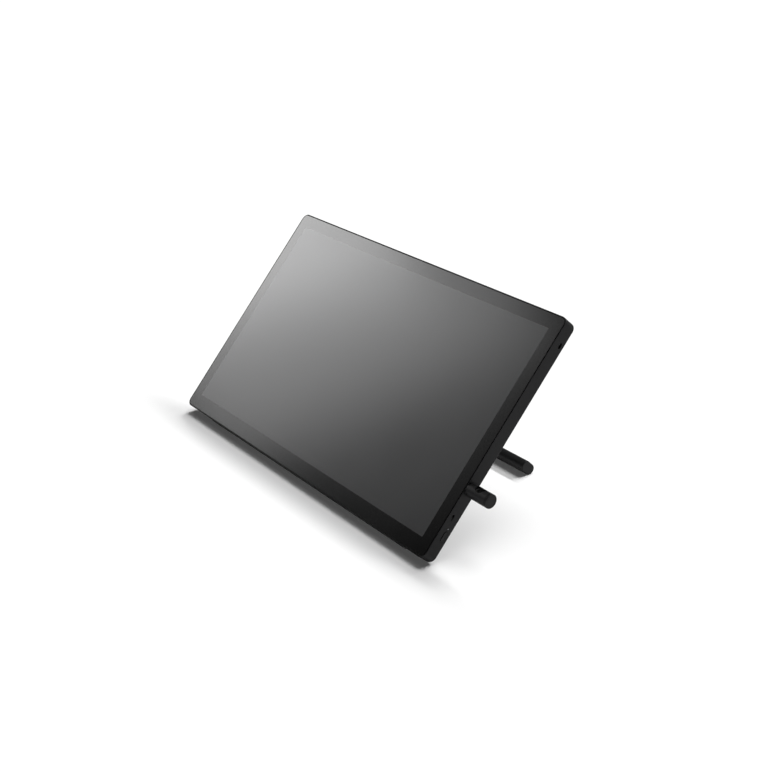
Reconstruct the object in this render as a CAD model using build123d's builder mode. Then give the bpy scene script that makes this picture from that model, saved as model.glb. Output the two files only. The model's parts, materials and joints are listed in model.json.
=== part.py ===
"""Pen drawing tablet: a 22-inch class pen display on a folding rear leg.

Millimetres, +Z up. The tablet stands tilted on the desk plane Z = 0, its screen facing -Y and up.
Most pieces are drawn in the tablet's own planes: level(depth) lies parallel to the glass, depth behind
its front face, with x to the right and y up the glass; station(x) is square to the X axis, with its
local x up the glass and its local y out of the glass.
"""
import os
from math import cos, radians, sin, sqrt

from build123d import *

os.makedirs("parts", exist_ok=True)

# ---- stance ----
tilt = 49.0  # angle between the glass and the desk
foot_drop = 1.2  # height of the housing's lowest corner over the desk

# ---- glass and lit area ----
lit_width = 476.1
lit_height = 267.8
bezel_side = 15.8
bezel_top = 16.6
bezel_bottom = 18.7
glass_thickness = 1.1
glass_radius = 6.5

# ---- housing ----
glass_gap = 0.3  # between the glass edge and the rim
rim = 1.2  # rim that stands round the glass
side_depth = 18.2  # height of the side faces
bevel_inset = 11.5
bevel_step = 4.0  # depth of the sloping band behind the side faces
side_wall = 2.4
back_wall = 2.0
housing_radius = 8.5
bevel_round = 1.2
rim_round = 0.5
hole_overcut = 0.1  # past a wall, so that a hole opens cleanly
at_level = 0.01  # an edge this near a depth lies at it

# ---- screen stack, front to back ----
bond_thickness = 0.3
cell_thickness = 1.6
diffuser_thickness = 0.7
guide_thickness = 2.2
reflector_thickness = 0.2
pan_thickness = 0.8
sensor_thickness = 1.0
shield_thickness = 0.3
floor_thickness = 1.5
glass_edge = 0.2
cell_margin = 7.0  # how far the cell and its pan pass the lit area
sensor_margin = 8.0
mask_thickness = 0.1
mask_width = 11.0
tray_clearance = 0.3
light_gap = 3.2  # room for the lamps below the light guide
lamp_count = 32
lamp_size = 1.6
strip_thickness = 1.0

# ---- chassis ----
chassis_gap = 0.3
chassis_wall = 3.0
chassis_radius = 6.0
notch_reach = 8.2  # of the right side's notches in from the side wall
notch_clearance = 1.6
cable_slot_gap = 2.6  # from the sensor's top edge to the ribbons' slots
boss_radius = 4.0
plate_boss_radius = 5.2
rib_thickness = 1.6
pilot_gap = 0.05  # round a screw or insert in its hole

# ---- electronics ----
board_thickness = 1.6
part_height = 3.0  # tallest part on a board
part_clearance = 1.8  # between that part and the back wall
board_wall_gap = 1.2  # between the main board and the side wall
board_screw_inset = 4.5
board_post_radius = 3.2
port_clear = 4.0  # the main board's screws stand this much further in, clear of the sockets
main_board_width = 142.0
main_board_height = 88.0
main_board_top = 30.0  # from the glass's top edge to the board
power_board_width = 130.0
power_board_height = 60.0
power_board_inset = 44.0  # from the chassis's right edge
chip_size = 17.0
chip_offsets = ((-18.0, 0.0), (16.0, -4.0))  # from the main board's middle
chip_height = 1.0
pad_inset = 1.0  # of a pad inside its chip's edges
pad_height = 0.5
spreader_share_x = 0.6  # of the main board's width
spreader_share_y = 0.5
spreader_radius = 4.0
spreader_height = 0.8
shield_can_width = 46.0
shield_can_length = 16.0
shield_can_height = 2.2
shield_can_inset = 11.0  # from the board's top edge to the can's middle
coil_size = 10.0
coil_pitch_x = 24.0
coil_pitch_y = 20.0
coil_edge = 0.8
ribbon_thickness = 0.3
ribbon_width = 26.0
ribbon_gap = 0.2  # from the edge that a ribbon starts at
ribbon_overlap = 4.0  # of a ribbon under the main board
panel_ribbon_offset = -20.0  # from the main board's middle
sensor_ribbon_offset = 30.0
cable_slot_width = 34.0
cable_slot_height = 2.6

# ---- sockets on the left side ----
port_width = 8.94
port_height = 3.26
port_length = 7.5
port_skin = 0.3
port_gap = 0.15
port_pitch = 23.0
port_count = 3
port_row_drop = 75.1  # from the glass's top edge to the middle of the row
port_inset = 0.2  # of the shells' mouths behind the side face
port_floor = 1.0  # closed end of a shell
tongue_inset = 0.8
tongue_margin = 1.3
tongue_thickness = 0.7

# ---- right side controls, up the glass and behind its face ----
button_height = 31.0
button_depth = 10.5
button_length = 12.0
button_width = 4.0
button_travel = 0.8
button_flange = 0.8
button_proud = 0.5
button_edge = 0.3
button_slack = 0.2  # between the flange and the side wall
switch_height = 53.5
switch_depth = 6.9
switch_slot_length = 7.2
switch_slot_width = 2.4
switch_travel = 3.0
switch_body_height = 2.4
switch_body_width = 5.0
switch_body_extra = 3.0  # of the body over the slot's length
switch_well_width = 2.2
switch_well_extra = 1.0
slider_slack = 0.2
switch_body_floor = 0.6
slider_sink = 0.4  # of the slider under the side face
slider_groove = 0.4
slider_groove_step = 0.8
slider_groove_depth = 0.5
control_gap = 0.3
control_board_thickness = 1.2
control_board_gap = 0.6  # from the board to the ends of its notch
control_board_sink = 5.2  # from the side wall's inner face to the board
control_notch_below = 12.0  # of the notch under the button
control_notch_above = 11.0  # of the notch over the switch
control_block_inset = 1.8
control_block_size = (3.0, 6.0)
tact_size = 6.0
tact_height = 1.6
tact_plunger_radius = 1.6
lamp_pipe_height = 40.5
lamp_pipe_radius = 0.8
lamp_flange = 1.0
lock_drop = 28.0  # from the glass's top edge
lock_depth = 11.9
lock_length = 7.0
lock_width = 3.0
lock_plate_length = 22.0
lock_plate_thickness = 1.6
lock_plate_gap = 0.2

# ---- vents in the back ----
vent_width = 1.8
vent_length = 15.0
vent_pitch = 5.0
vent_count = 27
vent_row_gap = 5.0
vent_drop = 42.0  # from the glass's top edge to the field's middle
vent_screen_thickness = 0.4
vent_screen_margin = 12.0  # over the length of the two rows of slots
vent_screen_radius = 3.0

# ---- pen holder ----
holder_height = 89.5
holder_depth = 8.3
holder_radius = 8.4
holder_length = 33.2
holder_gap = 0.4  # between the holder and the side face
holder_cap_length = 2.6
holder_cap_edge = 0.6
holder_groove = 0.5
holder_groove_depth = 0.6
holder_foot_round = 1.0
pen_bore_radius = 5.2
liner_wall = 0.9
liner_length = 11.0
pen_bore_offset = 16.0  # from the holder's inner face to the bore's axis
flare_taper = 12.0
flare_overcut = 0.5
spigot_radius = 4.5
socket_radius = 6.4
socket_length = 6.0
running_gap = 0.05
clip_thickness = 0.8
clip_groove_depth = 0.9
clip_groove_reach = 1.0  # of the groove's cutter past the spigot
clip_reach = 1.4  # of the clip past the spigot
socket_inset = 0.2  # of the socket behind the side face
spigot_tail = 2.6  # of the spigot past its socket

# ---- stand ----
hinge_rise = 15.0  # from the plate's middle up the glass
hinge_standoff = 12.0  # from the back face to the hinge axis
leg_lean = 45.0  # the leg's angle to the desk
arm_spacing = 124.0
arm_width = 24.0
arm_thickness = 7.0
eye_radius = 8.0
pin_radius = 3.5
bush_radius = 5.2
washer_thickness = 0.8
washer_gap = 0.3
ear_thickness = 4.0
ear_foot_share = 2.6  # of the eye's radius
plate_thickness = 2.5
plate_width = 172.0
plate_height = 120.0
plate_drop = 1.55  # of the plate's middle under the glass's
plate_radius = 8.0
plate_window_width = 46.0
plate_window_height = 34.0
plate_window_radius = 6.0
plate_window_drop = 26.0
screw_square = 100.0  # the standard square of mounting screws
bar_length = 325.0
bar_thickness = 14.0
bar_width = 23.0
sole_thickness = 1.5
sole_reach = 3.0  # how far the sole runs up past its round
sole_flat = 0.2  # depth of the flat worn on the sole
end_cap_length = 4.0
end_cap_round = 1.0
bumper_gap = 0.4
bumper_length = 34.0
bumper_width = 9.0
bumper_inset = 5.0  # from the bevel to the bumpers' middle
bumper_share = 0.32  # of the bar's length, from the middle to each bumper
bumper_edge = 0.6
pin_head_radius = 6.0
pin_head_height = 3.0
pin_tail = 0.6  # of a pin past its nut
pin_edge = 0.8
barrel_wall = 1.2
washer_inset = 0.5
arm_screw_radius = 2.0
arm_screw_length = 26.0
arm_screw_offset = 7.0

# ---- front foot ----
foot_length = 420.0
foot_front = 2.5  # up the bottom face
foot_rear = 9.0  # along the bevel
foot_land_front = 1.5  # the flat that stands on the desk, forward and back of the corner
foot_land_rear = 5.0
foot_height = 0.8

# ---- screws ----
cover_screw_inset = 32.0  # from the side faces
cover_screw_margin = 22.0  # from the glass's top and bottom edges
cover_screw_radius = 1.25
cover_head_radius = 2.5
cover_head_height = 1.25
insert_radius = 2.2
insert_length = 5.0
plate_screw_radius = 2.0
plate_head_radius = 3.6
plate_head_height = 2.4
plate_insert_radius = 2.9
plate_insert_length = 6.5
board_screw_radius = 1.25
board_head_radius = 2.4
board_head_height = 1.3
plate_head_edge = 0.5
plate_recess_radius = 1.45
plate_recess_depth = 1.5
cover_recess_share = 0.7
screw_end_gap = 0.5  # between a cover screw's end and the bottom of its insert
board_screw_gap = 0.4
plate_screw_gap = 0.8
arm_pilot_gap = 1.0

# ---- worked out from the above ----
glass_width = lit_width + 2 * bezel_side
glass_height = lit_height + bezel_top + bezel_bottom
lit_middle = bezel_bottom + lit_height / 2
middle = glass_height / 2
housing_width = glass_width + 2 * (glass_gap + rim)
housing_height = glass_height + 2 * (glass_gap + rim)
half_width = housing_width / 2
bottom_edge = middle - housing_height / 2
back_depth = side_depth + bevel_step
inner_half = half_width - side_wall
plate_middle = middle - plate_drop
hinge_height = plate_middle + hinge_rise
lock_height = glass_height - lock_drop
port_row_height = glass_height - port_row_drop
vent_middle = glass_height - vent_drop

cell_front = glass_thickness + bond_thickness
cell_back = cell_front + cell_thickness
guide_front = cell_back + diffuser_thickness
guide_back = guide_front + guide_thickness
pan_front = guide_back + reflector_thickness
pan_back = pan_front + pan_thickness
sensor_back = pan_back + sensor_thickness
floor_front = sensor_back + shield_thickness
floor_back = floor_front + floor_thickness
cavity_back = back_depth - back_wall
board_rise = cavity_back - floor_back - board_thickness - part_height - part_clearance
board_front = floor_back + board_rise
board_back = board_front + board_thickness
straight_back = side_depth - bevel_round  # where the hollow's sides end and its slope starts
pan_width = lit_width + 2 * cell_margin
pan_height = lit_height + 2 * cell_margin
tray_width = pan_width - 2 * (pan_thickness + tray_clearance)
tray_height = pan_height - 2 * (pan_thickness + tray_clearance)
chassis_width = housing_width - 2 * (side_wall + chassis_gap)
chassis_height = housing_height - 2 * (side_wall + chassis_gap)
chassis_half = chassis_width / 2

c = cos(radians(tilt))
s = sin(radians(tilt))


def in_world(up_glass, out_of_glass):
    """Y and Z steps in the world for a step up the glass and one out of it."""
    return up_glass * c - out_of_glass * s, up_glass * s + out_of_glass * c


corner_step = in_world(bottom_edge, -side_depth)
glass_origin = Vector(0, -corner_step[0], foot_drop - corner_step[1])
glass = Plane(origin=glass_origin, x_dir=(1, 0, 0), z_dir=(0, -s, c))
section = Plane(origin=glass_origin, x_dir=(0, c, s), z_dir=(1, 0, 0))
glass_axis = Axis(glass_origin, (0, -s, c))


def level(depth):
    return glass.offset(-depth)


def station(x):
    return section.offset(x)


def save(piece, name):
    piece.part.label = name
    export_step(piece.part, "parts/" + name + ".step")


# ---- screen stack ----
with BuildPart() as front_glass:
    with BuildSketch(level(glass_thickness)):
        with Locations((0, middle)):
            RectangleRounded(glass_width, glass_height, glass_radius)
    extrude(amount=glass_thickness)
    chamfer(front_glass.faces().sort_by(glass_axis)[-1].edges(), glass_edge)
save(front_glass, "front_glass")

with BuildPart() as border_mask:
    with BuildSketch(level(glass_thickness + mask_thickness)):
        with Locations((0, lit_middle)):
            Rectangle(lit_width + 2 * mask_width, lit_height + 2 * mask_width)
            Rectangle(lit_width, lit_height, mode=Mode.SUBTRACT)
    extrude(amount=mask_thickness)
save(border_mask, "border_mask")

with BuildPart() as bonding_film:
    with BuildSketch(level(cell_front)):
        with Locations((0, lit_middle)):
            Rectangle(lit_width, lit_height)
    extrude(amount=bond_thickness)
save(bonding_film, "bonding_film")

with BuildPart() as glass_tape:
    with BuildSketch(level(cell_front)):
        with Locations((0, middle)):
            RectangleRounded(chassis_width, chassis_height, chassis_radius)
            Rectangle(
                chassis_width - 2 * chassis_wall,
                chassis_height - 2 * chassis_wall,
                mode=Mode.SUBTRACT,
            )
    extrude(amount=bond_thickness)
save(glass_tape, "glass_tape")

with BuildPart() as lcd_panel:
    with BuildSketch(level(cell_back)):
        with Locations((0, lit_middle)):
            Rectangle(pan_width, pan_height)
    extrude(amount=cell_thickness)
save(lcd_panel, "lcd_panel")

with BuildPart() as diffuser_sheets:
    with BuildSketch(level(guide_front)):
        with Locations((0, lit_middle)):
            Rectangle(tray_width, tray_height)
    extrude(amount=diffuser_thickness)
save(diffuser_sheets, "diffuser_sheets")

with BuildPart() as light_guide:
    with BuildSketch(level(guide_back)):
        with Locations((0, lit_middle + light_gap / 2)):
            Rectangle(tray_width, tray_height - light_gap)
    extrude(amount=guide_thickness)
save(light_guide, "light_guide")

with BuildPart() as reflector_sheet:
    with BuildSketch(level(pan_front)):
        with Locations((0, lit_middle)):
            Rectangle(tray_width, tray_height)
    extrude(amount=reflector_thickness)
save(reflector_sheet, "reflector_sheet")

# the lamps stand on a strip along the guide's lower edge and shine up into it
strip_bottom = lit_middle - tray_height / 2

with BuildPart() as lamp_strip:
    with BuildSketch(level(guide_back)):
        with Locations((0, strip_bottom + strip_thickness / 2)):
            Rectangle(tray_width - light_gap, strip_thickness)
    extrude(amount=guide_thickness)
save(lamp_strip, "lamp_strip")

with BuildPart() as backlight_lamps:
    with BuildSketch(level(guide_back - (guide_thickness - lamp_size) / 2)):
        with Locations((0, strip_bottom + strip_thickness + lamp_size / 2)):
            with GridLocations(tray_width / lamp_count, 1, lamp_count, 1):
                Rectangle(2 * lamp_size, lamp_size)
    extrude(amount=lamp_size)
save(backlight_lamps, "backlight_lamps")

with BuildPart() as backlight_pan:
    with BuildSketch(level(pan_back)):
        with Locations((0, lit_middle)):
            Rectangle(pan_width, pan_height)
    extrude(amount=pan_back - cell_back)
    with BuildSketch(level(pan_front)):
        with Locations((0, lit_middle)):
            Rectangle(pan_width - 2 * pan_thickness, pan_height - 2 * pan_thickness)
    extrude(amount=pan_front - cell_back, mode=Mode.SUBTRACT)
save(backlight_pan, "backlight_pan")

sensor_width = lit_width + 2 * sensor_margin
sensor_height = lit_height + 2 * sensor_margin

with BuildPart() as sensor_board:
    with BuildSketch(level(sensor_back)):
        with Locations((0, lit_middle)):
            Rectangle(sensor_width, sensor_height)
    extrude(amount=sensor_thickness)
save(sensor_board, "sensor_board")

with BuildPart() as shield_sheet:
    with BuildSketch(level(floor_front)):
        with Locations((0, lit_middle)):
            Rectangle(sensor_width, sensor_height)
    extrude(amount=shield_thickness)
save(shield_sheet, "shield_sheet")

# ---- places shared by the chassis, boards, covers and screws ----
cover_screw_x = half_width - cover_screw_inset
cover_screw_spots = [
    (x, y)
    for x in (-cover_screw_x, -cover_screw_x / 3, cover_screw_x / 3, cover_screw_x)
    for y in (cover_screw_margin, glass_height - cover_screw_margin)
]


def corners_of(x, y, width, height):
    return [(x + i * width / 2, y + j * height / 2) for i in (-1, 1) for j in (-1, 1)]


plate_screw_spots = corners_of(0, plate_middle, screw_square, screw_square)
main_board_x = -inner_half + board_wall_gap + main_board_width / 2
main_board_y = glass_height - main_board_top - main_board_height / 2
power_board_x = chassis_half - power_board_inset - power_board_width / 2
power_board_y = glass_height - main_board_top - power_board_height / 2
main_board_spots = corners_of(
    main_board_x,
    main_board_y,
    main_board_width - 2 * (board_screw_inset + port_clear),
    main_board_height - 2 * board_screw_inset,
)
power_board_spots = corners_of(
    power_board_x,
    power_board_y,
    power_board_width - 2 * board_screw_inset,
    power_board_height - 2 * board_screw_inset,
)
board_screw_spots = main_board_spots + power_board_spots
port_heights = [
    port_row_height + port_pitch * (i - (port_count - 1) / 2) for i in range(port_count)
]
port_depth = board_front - port_height / 2

# clear spaces cut through the chassis's right side, as (low, high) up the glass
holder_notch = (
    holder_height - socket_radius - notch_clearance,
    holder_height + socket_radius + notch_clearance,
)
control_notch = (button_height - control_notch_below, switch_height + control_notch_above)
cable_slot_y = lit_middle + sensor_height / 2 + cable_slot_gap
panel_slot_x = main_board_x + panel_ribbon_offset
sensor_slot_x = main_board_x + sensor_ribbon_offset

# ---- chassis: a ring that carries the glass, a floor, and bosses for the boards and screws ----
with BuildPart() as chassis:
    with BuildSketch(level(floor_back)):
        with Locations((0, middle)):
            RectangleRounded(chassis_width, chassis_height, chassis_radius)
    extrude(amount=floor_back - cell_front)
    with BuildSketch(level(floor_front)):
        with Locations((0, middle)):
            Rectangle(chassis_width - 2 * chassis_wall, chassis_height - 2 * chassis_wall)
    extrude(amount=floor_front - cell_front, mode=Mode.SUBTRACT)
    with BuildSketch(level(cavity_back)):
        with Locations(*cover_screw_spots):
            Circle(boss_radius)
        with Locations(*plate_screw_spots):
            Circle(plate_boss_radius)
    extrude(amount=cavity_back - floor_back)
    with BuildSketch(level(board_front)):
        with Locations(*board_screw_spots):
            Circle(board_post_radius)
    extrude(amount=board_rise)
    # stiffening ribs across the middle of the floor
    with BuildSketch(level(floor_back + board_rise)):
        for y in (plate_middle - screw_square / 2, plate_middle + screw_square / 2):
            with Locations((0, y)):
                Rectangle(screw_square - 2 * boss_radius, rib_thickness)
        for x in (-screw_square / 2, screw_square / 2):
            with Locations((x, plate_middle)):
                Rectangle(rib_thickness, screw_square - 2 * boss_radius)
    extrude(amount=board_rise)
    with BuildSketch(level(cavity_back)):
        with Locations(*cover_screw_spots):
            Circle(insert_radius + pilot_gap)
    extrude(amount=insert_length, mode=Mode.SUBTRACT)
    with BuildSketch(level(cavity_back)):
        with Locations(*plate_screw_spots):
            Circle(plate_insert_radius + pilot_gap)
    extrude(amount=plate_insert_length, mode=Mode.SUBTRACT)
    with BuildSketch(level(board_front)):
        with Locations(*board_screw_spots):
            Circle(board_screw_radius + pilot_gap)
    extrude(amount=board_rise, mode=Mode.SUBTRACT)
    for low, high in (holder_notch, control_notch):
        with BuildSketch(level(floor_back)):
            with Locations((inner_half - notch_reach / 2, (low + high) / 2)):
                Rectangle(notch_reach, high - low)
        extrude(amount=floor_back, mode=Mode.SUBTRACT)
    with BuildSketch(level(floor_back)):
        with Locations((panel_slot_x, cable_slot_y), (sensor_slot_x, cable_slot_y)):
            Rectangle(cable_slot_width, cable_slot_height)
    extrude(amount=floor_thickness, mode=Mode.SUBTRACT)
save(chassis, "chassis")

# ---- rear cover: back and side faces in one shell ----
with BuildPart() as rear_cover:
    with BuildSketch(level(side_depth)):
        with Locations((0, middle)):
            RectangleRounded(housing_width, housing_height, housing_radius)
    extrude(amount=side_depth)
    with BuildSketch(level(side_depth)):
        with Locations((0, middle)):
            RectangleRounded(housing_width, housing_height, housing_radius)
    with BuildSketch(level(back_depth)):
        with Locations((0, middle)):
            RectangleRounded(
                housing_width - 2 * bevel_inset,
                housing_height - 2 * bevel_inset,
                housing_radius / 2,
            )
    loft(ruled=True)
    for depth, round_size in ((side_depth, bevel_round), (back_depth, bevel_round), (0, rim_round)):
        fillet(
            rear_cover.edges().filter_by_position(glass_axis, -depth - at_level, -depth + at_level),
            round_size,
        )
    # the hollow follows the outside at an even wall
    taper_inset = (cavity_back - straight_back) * bevel_inset / bevel_step
    with BuildSketch(level(straight_back)):
        with Locations((0, middle)):
            RectangleRounded(
                housing_width - 2 * side_wall,
                housing_height - 2 * side_wall,
                housing_radius - side_wall,
            )
    extrude(amount=straight_back - cell_front, mode=Mode.SUBTRACT)
    with BuildSketch(level(straight_back)):
        with Locations((0, middle)):
            RectangleRounded(
                housing_width - 2 * side_wall,
                housing_height - 2 * side_wall,
                housing_radius - side_wall,
            )
    with BuildSketch(level(cavity_back)):
        with Locations((0, middle)):
            RectangleRounded(
                housing_width - 2 * (side_wall + taper_inset),
                housing_height - 2 * (side_wall + taper_inset),
                (housing_radius - side_wall) / 2,
            )
    loft(ruled=True, mode=Mode.SUBTRACT)
    with BuildSketch(level(cell_front)):
        with Locations((0, middle)):
            RectangleRounded(
                glass_width + 2 * glass_gap,
                glass_height + 2 * glass_gap,
                glass_radius + glass_gap,
            )
    extrude(amount=cell_front, mode=Mode.SUBTRACT)
    # right side: lock slot, controls, light and holder socket
    with BuildSketch(station(half_width)):
        with Locations((lock_height, -lock_depth)):
            SlotOverall(lock_length, lock_width)
        with Locations((button_height, -button_depth)):
            SlotOverall(button_length + 2 * control_gap, button_width + 2 * control_gap)
        with Locations((switch_height, -switch_depth)):
            SlotOverall(switch_slot_length, switch_slot_width)
        with Locations((lamp_pipe_height, -button_depth)):
            Circle(lamp_pipe_radius + pilot_gap)
        with Locations((holder_height, -holder_depth)):
            Circle(socket_radius + pilot_gap)
    extrude(amount=-(side_wall + hole_overcut), mode=Mode.SUBTRACT)
    # left side: sockets
    with BuildSketch(station(-half_width)):
        for y in port_heights:
            with Locations((y, -port_depth)):
                SlotOverall(port_width + 2 * port_gap, port_height + 2 * port_gap)
    extrude(amount=side_wall + hole_overcut, mode=Mode.SUBTRACT)
    # back: holes for the cover screws and the stand's screws, and the vent slots
    with BuildSketch(level(back_depth)):
        with Locations(*cover_screw_spots):
            Circle(cover_head_radius + pilot_gap)
    extrude(amount=cover_head_height, taper=44.0, mode=Mode.SUBTRACT)
    with BuildSketch(level(back_depth)):
        with Locations(*cover_screw_spots):
            Circle(cover_screw_radius + pilot_gap)
        with Locations(*plate_screw_spots):
            Circle(plate_screw_radius + pilot_gap)
        with Locations((0, vent_middle)):
            with GridLocations(vent_pitch, vent_length + vent_row_gap, vent_count, 2):
                SlotOverall(vent_length, vent_width, rotation=90)
    extrude(amount=back_wall + hole_overcut, mode=Mode.SUBTRACT)
save(rear_cover, "rear_cover")

# ---- cover screws in brass inserts ----
with BuildPart() as cover_inserts:
    with BuildSketch(level(cavity_back)):
        with Locations(*cover_screw_spots):
            Circle(insert_radius)
            Circle(cover_screw_radius + pilot_gap, mode=Mode.SUBTRACT)
    extrude(amount=insert_length)
save(cover_inserts, "cover_inserts")

with BuildPart() as cover_screws:
    with BuildSketch(level(back_depth)):
        with Locations(*cover_screw_spots):
            Circle(cover_head_radius)
    extrude(amount=cover_head_height, taper=45.0)
    with BuildSketch(level(back_depth - cover_head_height)):
        with Locations(*cover_screw_spots):
            Circle(cover_screw_radius)
    extrude(amount=back_wall + insert_length - cover_head_height - screw_end_gap)
    with BuildSketch(level(back_depth)):
        with Locations(*cover_screw_spots):
            RegularPolygon(cover_screw_radius, 6)
    extrude(amount=cover_head_height * cover_recess_share, mode=Mode.SUBTRACT)
save(cover_screws, "cover_screws")

# ---- boards behind the chassis ----
with BuildPart() as main_board:
    with BuildSketch(level(board_back)):
        with Locations((main_board_x, main_board_y)):
            Rectangle(main_board_width, main_board_height)
        with Locations(*main_board_spots):
            Circle(board_screw_radius + pilot_gap, mode=Mode.SUBTRACT)
    extrude(amount=board_thickness)
save(main_board, "main_board")

with BuildPart() as power_board:
    with BuildSketch(level(board_back)):
        with Locations((power_board_x, power_board_y)):
            Rectangle(power_board_width, power_board_height)
        with Locations(*power_board_spots):
            Circle(board_screw_radius + pilot_gap, mode=Mode.SUBTRACT)
    extrude(amount=board_thickness)
save(power_board, "power_board")

with BuildPart() as board_screws:
    with BuildSketch(level(board_back + board_head_height)):
        with Locations(*board_screw_spots):
            Circle(board_head_radius)
    extrude(amount=board_head_height)
    with BuildSketch(level(board_back)):
        with Locations(*board_screw_spots):
            Circle(board_screw_radius)
    extrude(amount=board_thickness + board_rise - board_screw_gap)
save(board_screws, "board_screws")

chip_spots = [(main_board_x + x, main_board_y + y) for x, y in chip_offsets]
with BuildPart() as processor_chips:
    with BuildSketch(level(board_back + chip_height)):
        with Locations(*chip_spots):
            Rectangle(chip_size, chip_size)
    extrude(amount=chip_height)
save(processor_chips, "processor_chips")

with BuildPart() as thermal_pads:
    with BuildSketch(level(board_back + chip_height + pad_height)):
        with Locations(*chip_spots):
            Rectangle(chip_size - 2 * pad_inset, chip_size - 2 * pad_inset)
    extrude(amount=pad_height)
save(thermal_pads, "thermal_pads")

with BuildPart() as heat_spreader:
    with BuildSketch(level(board_back + chip_height + pad_height + spreader_height)):
        with Locations((main_board_x, main_board_y)):
            RectangleRounded(
                main_board_width * spreader_share_x,
                main_board_height * spreader_share_y,
                spreader_radius,
            )
    extrude(amount=spreader_height)
save(heat_spreader, "heat_spreader")

can_place = (main_board_x, main_board_y + main_board_height / 2 - shield_can_inset)
with BuildPart() as shield_can:
    with BuildSketch(level(board_back + shield_can_height)):
        with Locations(can_place):
            Rectangle(shield_can_width, shield_can_length)
    extrude(amount=shield_can_height)
    with BuildSketch(level(board_back + shield_can_height - port_skin)):
        with Locations(can_place):
            Rectangle(shield_can_width - 2 * port_skin, shield_can_length - 2 * port_skin)
    extrude(amount=shield_can_height - port_skin, mode=Mode.SUBTRACT)
save(shield_can, "shield_can")

with BuildPart() as power_coils:
    with BuildSketch(level(board_back + part_height)):
        with Locations((power_board_x, power_board_y)):
            with GridLocations(coil_pitch_x, coil_pitch_y, 4, 2):
                Rectangle(coil_size, coil_size)
    extrude(amount=part_height)
    chamfer(power_coils.faces().sort_by(glass_axis)[0:8].edges(), coil_edge)
save(power_coils, "power_coils")

# ribbons run from the cell and the sensor over their top edges, through the floor, to the main board
ribbon_end = main_board_y + main_board_height / 2 - ribbon_overlap


def ribbon(x, start_y, start_depth):
    with BuildPart() as strip:
        with BuildSketch(station(x - ribbon_width / 2)):
            with BuildLine():
                Polyline(
                    (start_y, -start_depth),
                    (cable_slot_y, -start_depth),
                    (cable_slot_y, -(board_front - ribbon_thickness / 2)),
                    (ribbon_end, -(board_front - ribbon_thickness / 2)),
                )
            trace(line_width=ribbon_thickness)
        extrude(amount=ribbon_width)
    return strip


panel_top = lit_middle + pan_height / 2 + ribbon_gap
panel_ribbon = ribbon(panel_slot_x, panel_top, cell_front + cell_thickness / 2)
save(panel_ribbon, "panel_ribbon")
sensor_top = lit_middle + sensor_height / 2 + ribbon_gap
sensor_ribbon = ribbon(sensor_slot_x, sensor_top, pan_back + sensor_thickness / 2)
save(sensor_ribbon, "sensor_ribbon")

with BuildPart() as vent_screen:
    with BuildSketch(level(cavity_back)):
        with Locations((0, vent_middle)):
            RectangleRounded(
                vent_pitch * (vent_count + 1),
                2 * vent_length + vent_screen_margin,
                vent_screen_radius,
            )
    extrude(amount=vent_screen_thickness)
save(vent_screen, "vent_screen")

# ---- sockets on the left side ----
port_x = -half_width + port_inset
with BuildPart() as port_shells:
    with BuildSketch(station(port_x)):
        for y in port_heights:
            with Locations((y, -port_depth)):
                SlotOverall(port_width, port_height)
    extrude(amount=port_length)
    with BuildSketch(station(port_x)):
        for y in port_heights:
            with Locations((y, -port_depth)):
                SlotOverall(port_width - 2 * port_skin, port_height - 2 * port_skin)
    extrude(amount=port_length - port_floor, mode=Mode.SUBTRACT)
save(port_shells, "port_shells")

with BuildPart() as port_tongues:
    with BuildSketch(station(port_x + tongue_inset)):
        for y in port_heights:
            with Locations((y, -port_depth)):
                Rectangle(port_width - 2 * tongue_margin, tongue_thickness)
    extrude(amount=port_length - port_floor - tongue_inset)
save(port_tongues, "port_tongues")

# ---- right side: lock plate, button board, switches, light ----
with BuildPart() as lock_plate:
    with BuildSketch(station(inner_half - lock_plate_thickness)):
        with Locations((lock_height, -(floor_back + straight_back) / 2)):
            Rectangle(lock_plate_length, straight_back - floor_back - 2 * lock_plate_gap)
        with Locations((lock_height, -lock_depth)):
            SlotOverall(lock_length, lock_width, mode=Mode.SUBTRACT)
    extrude(amount=lock_plate_thickness)
save(lock_plate, "lock_plate")

control_middle = (button_height + switch_height) / 2
control_board_x = inner_half - control_board_sink  # its outer face
with BuildPart() as control_board:
    with BuildSketch(station(control_board_x)):
        with Locations((control_middle, -(cell_front + straight_back) / 2)):
            Rectangle(
                control_notch[1] - control_notch[0] - 2 * control_board_gap,
                straight_back - cell_front - 4 * control_board_gap,
            )
    extrude(amount=-control_board_thickness)
save(control_board, "control_board")

# two small blocks hold the control board to the side wall
with BuildPart() as board_blocks:
    with BuildSketch(station(control_board_x)):
        for y in (control_notch[0] + control_block_inset, control_notch[1] - control_block_inset):
            with Locations((y, -button_depth)):
                Rectangle(*control_block_size)
    extrude(amount=inner_half - control_board_x)
save(board_blocks, "board_blocks")

button_flange_x = inner_half - button_slack - button_flange
button_grow = 2 * button_flange  # of the flange past the button, end to end
with BuildPart() as tact_switch:
    with BuildSketch(station(control_board_x)):
        with Locations((button_height, -button_depth)):
            Rectangle(tact_size, tact_size)
    extrude(amount=tact_height)
    with BuildSketch(station(control_board_x + tact_height)):
        with Locations((button_height, -button_depth)):
            Circle(tact_plunger_radius)
    extrude(amount=button_flange_x - button_travel - control_gap - control_board_x - tact_height)
save(tact_switch, "tact_switch")

with BuildPart() as switch_body:
    with BuildSketch(station(control_board_x)):
        with Locations((switch_height, -switch_depth)):
            Rectangle(switch_slot_length + switch_body_extra, switch_body_width)
    extrude(amount=switch_body_height)
    with BuildSketch(station(control_board_x + switch_body_height)):
        with Locations((switch_height, -switch_depth)):
            Rectangle(switch_slot_length + switch_well_extra, switch_well_width)
    extrude(amount=switch_body_floor - switch_body_height, mode=Mode.SUBTRACT)
save(switch_body, "switch_body")

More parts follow.
